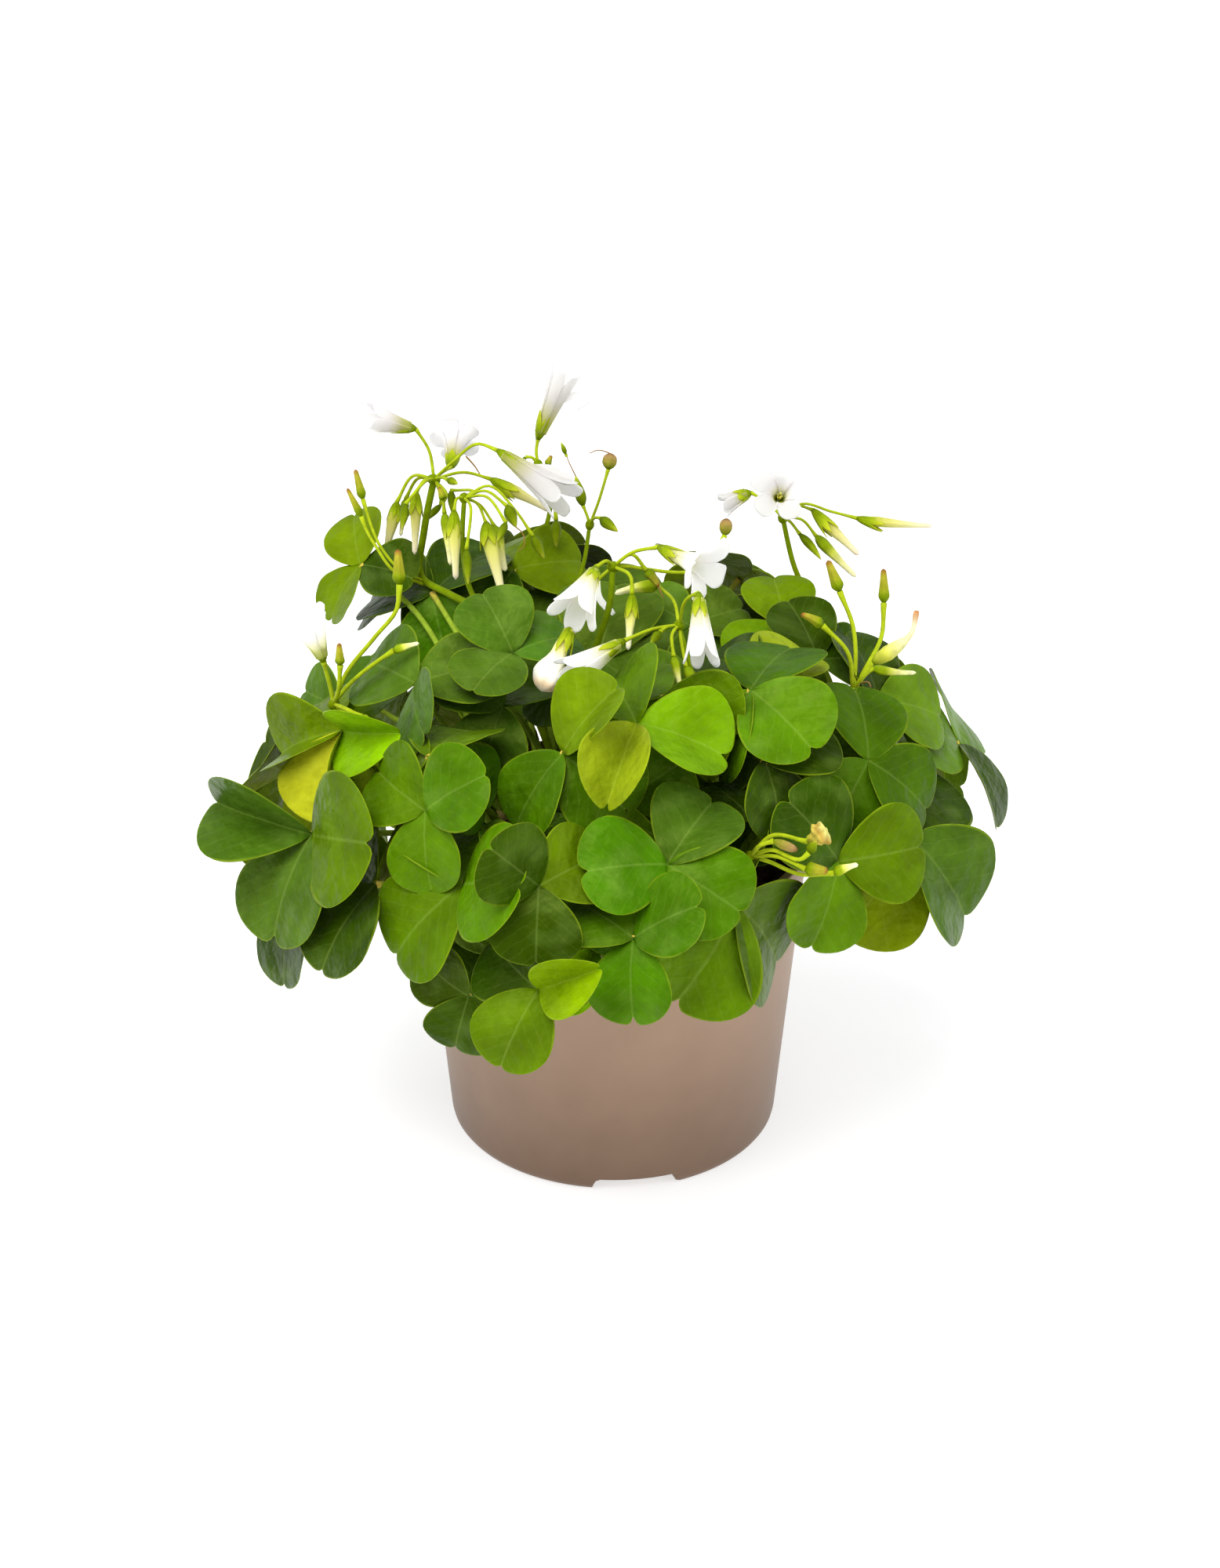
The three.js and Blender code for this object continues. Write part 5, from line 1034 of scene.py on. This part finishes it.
def stalk_knots(name, knob):
    """The middles of a solid stalk's three-cornered rings, from the soil up to the knob."""
    corners, _ = solid_net(name)
    apart = np.linalg.norm(corners[:, None] - corners[None], axis=-1)
    joined = np.abs(apart - SOLID_STALK_SIDE) < SIDE_SLACK
    rings = {tuple(sorted((a, b, c))) for a, b in np.argwhere(joined)
             for c in np.flatnonzero(joined[a] & joined[b])}
    middles = [corners[list(ring)].mean(0) for ring in rings]
    knots = [above_foot(corners, ROOT_TOP)]
    while middles:
        away = [np.linalg.norm(middle - knots[-1]) for middle in middles]
        knots.append(middles.pop(int(np.argmin(away))))
    kept = knots[:1]
    for knot in knots[1:]:
        if np.linalg.norm(knot - kept[-1]) > KNOT_GAP and np.linalg.norm(knot - knob) > KNOB_GAP:
            kept.append(knot)
    return kept + [knob]


def basis(way):
    """Three square directions, the last of them the given one."""
    steady = np.eye(3)[int(np.argmin(np.abs(way)))]
    first = unit(np.cross(steady, way))
    return first, np.cross(way, first), way


def blended(share, stops):
    """Colours along a part: hex colours at shares of its length, mixed in between."""
    places, colours = zip(*stops)
    return np.stack([np.interp(share, places, channel) for channel in zip(*map(rgb, colours))], -1)


def thin_blade(place, normal, along, across, colours):
    """A sepal or petal as a shell of even thickness about a grid of points, with the colour of
    each point and its place in the pattern, which are read off along and across it."""
    shell = blade_shell(place + normal * THIN_HALF, place - normal * THIN_HALF)
    tints = np.broadcast_to(colours, place.shape).reshape(-1, 3)
    spots = np.stack(np.broadcast_arrays(across / 2 + 0.5, along), -1).reshape(-1, 2)
    return shell, np.tile(tints, (2, 1)), np.tile(spots, (2, 1))


def blade_grid(rows, columns):
    """The two parameters of a blade: from 0 to 1 along it and from -1 to 1 across it."""
    return np.linspace(0, 1, rows)[:, None], np.linspace(-1, 1, columns)[None]


def closed_head(kind, size, start, end, random):
    """A shell turned about the line from start to end. Its radius follows its kind's shares,
    times five ribs that wind a little, and its line bows to one side by a few hundredths. Some
    kinds are also crumpled, by waves round them that turn along their length."""
    radii, stops, ribs = HEAD_FORMS[kind]
    first, second, _ = basis(unit(end - start))
    share = np.linspace(0, 1, HEAD_ROWS)[:, None]
    turn = np.arange(HEAD_SIDES)[None] * 2 * math.pi / HEAD_SIDES
    wind = random.uniform(-1.2, 1.2)
    out = size * np.interp(share, *zip(*radii)) * (1 + ribs * np.cos(FLOWER_PARTS * turn + wind * share))
    if kind in ("wilting", "crumpled"):
        out = out * (1 + ribs * np.cos(2 * turn + 5 * share) * np.sin(3 * turn - 9 * share))
    bow = np.linalg.norm(end - start) * random.uniform(-0.05, 0.05)
    line = start + share * (end - start) + bow * 4 * share * (1 - share) * first
    rings = line[:, None] + out[..., None] * round_about(turn, first, second)
    return skin(rings), ring_tints(blended(share[:, 0], stops), HEAD_SIDES)


def sepals(growth, start, end, size, random):
    """Five lance-shaped sepals that overlap into a cup: each is a thin blade that widens from
    the base, then narrows to a point."""
    first, second, way = basis(unit(end - start))
    length = np.linalg.norm(end - start) * CALYX_REACH
    along, across = blade_grid(*SEPAL_GRID)
    colours = blended(along, ((0, SEPAL_BASE), (0.45, SEPAL_MIDDLE), (1, SEPAL_TIP)))
    width = 0.95 * np.clip(1 - along ** 2.4, 0.04, 1) * (0.6 + 0.4 * np.sin(math.pi * along))
    flare = 0.3 + 0.72 * np.sin(math.pi * 0.6 * along) ** 0.75 + 0.16 * along ** 5
    for k in range(FLOWER_PARTS):
        middle = 2 * math.pi * k / FLOWER_PARTS + random.uniform(-0.1, 0.1)
        outward = round_about(middle + across * width, first, second)
        out = size * flare * (1 + 0.04 * (k % 2))
        place = start + (along * length)[..., None] * way + out[..., None] * outward
        shell, tints, _ = thin_blade(place, outward, along, across, colours)
        growth.add(shell, tints)


def corolla(growth, start, mouth, size, random):
    """An open flower: five petals that start as a narrow tube, overlap, then part into rounded
    tips, round five stamens. A bell widens as a low power of the length. A wide flower opens
    late and lies flat."""
    first, second, way = basis(unit(mouth - start))
    length = np.linalg.norm(mouth - start)
    along, across = blade_grid(*PETAL_GRID)
    colours = blended(along, PETAL_SHADES)
    is_wide = size > WIDE_FLOWER
    base_turn = random.uniform(0, 2 * math.pi)
    for k in range(FLOWER_PARTS):
        reach = along * (1 - 0.2 * np.abs(across) ** 3 * along ** 0.5) * random.uniform(0.96, 1.0)
        if is_wide:
            stops, in_mm, of_size, of_length = np.array(WIDE_FORM).T
            out = np.interp(reach, stops, in_mm + of_size * size)
            up = length * np.interp(reach, stops, of_length)
        else:
            out = BELL_TUBE + (size - BELL_TUBE) * reach ** 1.15 + 0.1 * size * reach ** 9
            up = length * reach * 1.03
        half_angle = 0.73 - 0.17 * along ** 5
        turn = base_turn + 2 * math.pi * k / FLOWER_PARTS + across * half_angle + 0.2 * reach
        cup = 0.04 * size * (1 - across ** 2) * along ** 2
        wave = 0.03 * size * np.sin(across * 5 + k) * along ** 4
        lap = 0.2 * across
        place = (start + (up - cup * is_wide + wave)[..., None] * way
                 + (out + lap + cup)[..., None] * round_about(turn, first, second))
        normal = unit(np.cross(np.gradient(place, axis=1), np.gradient(place, axis=0)))
        growth.add(*thin_blade(place, normal, along, across, colours))
    for k in range(FLOWER_PARTS):
        lean = 0.6 * round_about(base_turn + 2 * math.pi * k / FLOWER_PARTS, first, second)
        reach = length * random.uniform(0.45, 0.6)
        ends = [start + lean * 0.5 + way * length * 0.1, start + lean + way * reach]
        add_stalk(growth, ends, STAMEN_RADII, THREAD_SIDES, STAMEN_COLOUR)


def curled_petal(growth, places, widths):
    """One petal that bends away from its flower: a blade along a smooth path, across the sight
    line, with its half width read off at shares of its length. Its sides curl forward as a
    parabola."""
    along, across = blade_grid(*CURLED_GRID)
    path = smooth_path(places, len(along))
    side = unit(np.cross(np.gradient(path, axis=0), TOWARD))
    half = np.interp(along, [0, 0.5, 0.85, 1], widths)
    place = (path[:, None] + (half * across)[..., None] * side[:, None]
             + (0.3 * half * across ** 2)[..., None] * TOWARD)
    colours = blended(0.35 + 0.65 * along, PETAL_SHADES)
    growth.add(*thin_blade(place, TOWARD, along, across, colours))


# A petal that has bent away from its flower: its points as mm across, mm up and mm nearer than
# the plant's middle, and its half width at its base, middle, shoulder and tip
CURLED_PETALS = {
    "t1": (((-16, 113, -31), (-10, 115.8, -30), (-7.6, 112.6, -29)), (0.4, 1.1, 2.4, 2.2)),
    "a2": (((-25, 94.5, 2), (-18.2, 93.2, 4), (-10.5, 89.6, 6)), (0.9, 2.2, 1.8, 0.5)),
    "d1": (((-3.8, 61, 20), (-3.2, 55.5, 22), (1.2, 50.6, 24)), (0.8, 1.0, 1.0, 0.6)),
}

petal_tissue, tree, surface = new_material(
    "petal, thin white tissue", Roughness=0.6, IOR=1.38, Specular_IOR_Level=0.2,
    Subsurface_Weight=0.75, Subsurface_Radius=(1, 1, 1), Subsurface_Scale=0.004,
    Emission_Strength=0.1)
# A matt tissue with a faint painted glow: it gives off a little light of its own colour, in place of the
# light that shines through the thin petal and fills its shadows. Fine veins run along each petal, a little
# greyer than the rest.
tint = add_node(tree, "Attribute", attribute_name="tint")
pattern = add_node(tree, "UVMap", uv_map="pattern")
split = add_node(tree, "SeparateXYZ", {0: pattern.outputs[0]})
wander = add_node(tree, "TexNoise", {"Vector": pattern.outputs[0], "Scale": 5.0, "Detail": 2.0})
bent = add_node(tree, "Math", {0: wander.outputs["Fac"], 1: 0.08, 2: split.outputs["X"]},
                operation="MULTIPLY_ADD")
lines = add_node(tree, "Math", {0: bent.outputs[0], 1: 0.06}, operation="PINGPONG")
line = add_node(tree, "MapRange", {0: lines.outputs[0], 1: 0.0, 2: 0.02, 3: 0.1, 4: 0.0})
veined = add_node(tree, "Mix", {"Factor": line.outputs[0], 6: tint.outputs["Color"],
                                7: linear(PETAL_VEIN)}, data_type="RGBA")
# The emission is a painted glow: the petals give off their own colour faintly
for socket in ("Base Color", "Emission Color"):
    tree.links.new(veined.outputs[2], surface.inputs[socket])

for name, near, knob_spot, stalk_radius, pedicel_radius, heads in UMBELS:
    umbel = f"umbel_{name}"
    knob = seen(*knob_spot, near)
    greens = Growth()
    path = smooth_path(stalk_knots(umbel, knob), STALK_STATIONS)
    radii = np.linspace(STALK_FOOT_RADIUS, stalk_radius, STALK_STATIONS)
    greens.add(stem(path, radii, STALK_SIDES), linear(STALK_COLOUR))
    way = unit(path[-1] - path[-2])
    knob_shell, _ = closed_head(
        "spent", stalk_radius * 1.5 + 0.4, knob - way * 1.8, knob + way * 1.5, bloom_random)
    greens.add(knob_shell, linear(SEPAL_BASE))
    flower_number = 0
    for kind, size, *rows in heads:
        points = [seen(across, up, near + nearer) for across, up, nearer in rows]
        if kind == "thread":
            radii = np.linspace(size, size * THREAD_TAPER, THREAD_STATIONS)
            add_stalk(greens, points, radii, THREAD_SIDES, THREAD_COLOUR)
            continue
        if kind == "withered":
            radii = np.full(WITHERED_PEDICEL, pedicel_radius)
            add_stalk(greens, [knob, *points[:2]], radii, PEDICEL_SIDES, PEDICEL_COLOUR)
            form, stops, _ = HEAD_FORMS[kind]
            share = np.linspace(0, 1, WITHERED_STATIONS)
            radii = size * np.interp(share, *zip(*form))
            greens.add(stem(smooth_path(points[1:], WITHERED_STATIONS), radii, WITHERED_SIDES),
                       ring_tints(blended(share, stops), WITHERED_SIDES))
            continue
        is_flower = kind in FLOWER_KINDS
        tip = points.pop()
        calyx_end = points.pop() if is_flower else tip
        start = points.pop(0) if kind.startswith("side ") else knob
        neck = points[-1]
        radii = pedicel_radius * np.interp(np.linspace(0, 1, PEDICEL_STATIONS), [0, 0.85, 1], [1, 1, 1.5])
        add_stalk(greens, [start, *points], radii, PEDICEL_SIDES, PEDICEL_COLOUR)
        if not is_flower:
            greens.add(*closed_head(kind.removeprefix("side "), size, neck, tip, bloom_random))
            continue
        flower_number += 1
        flower = f"{name}{flower_number}"
        cup = size * TUBE_CALYX if kind == "tube" else CALYX_RADIUS[kind]
        sepals(greens, neck, calyx_end, cup, bloom_random)
        base = neck + (calyx_end - neck) * CALYX_DEPTH
        bloom = Growth()
        if kind == "open":
            corolla(bloom, base, tip, size, bloom_random)
        else:
            bloom.add(*closed_head(kind, size, base, tip, bloom_random))
        if flower in CURLED_PETALS:
            places, widths = CURLED_PETALS[flower]
            curled_petal(bloom, [seen(*place) for place in places], widths)
        # Painted shade darkens the petals of some umbels
        bloom.tints = [tint * PETAL_PAINTED_SHADE.get(name, (1, 1, 1)) for tint in bloom.tints]
        bloom.piece(f"bloom_{flower}", petal_tissue, "petal", f"flower_{flower}")
    greens.piece(f"{umbel}_greens", stem_tissue, "stalk", umbel)
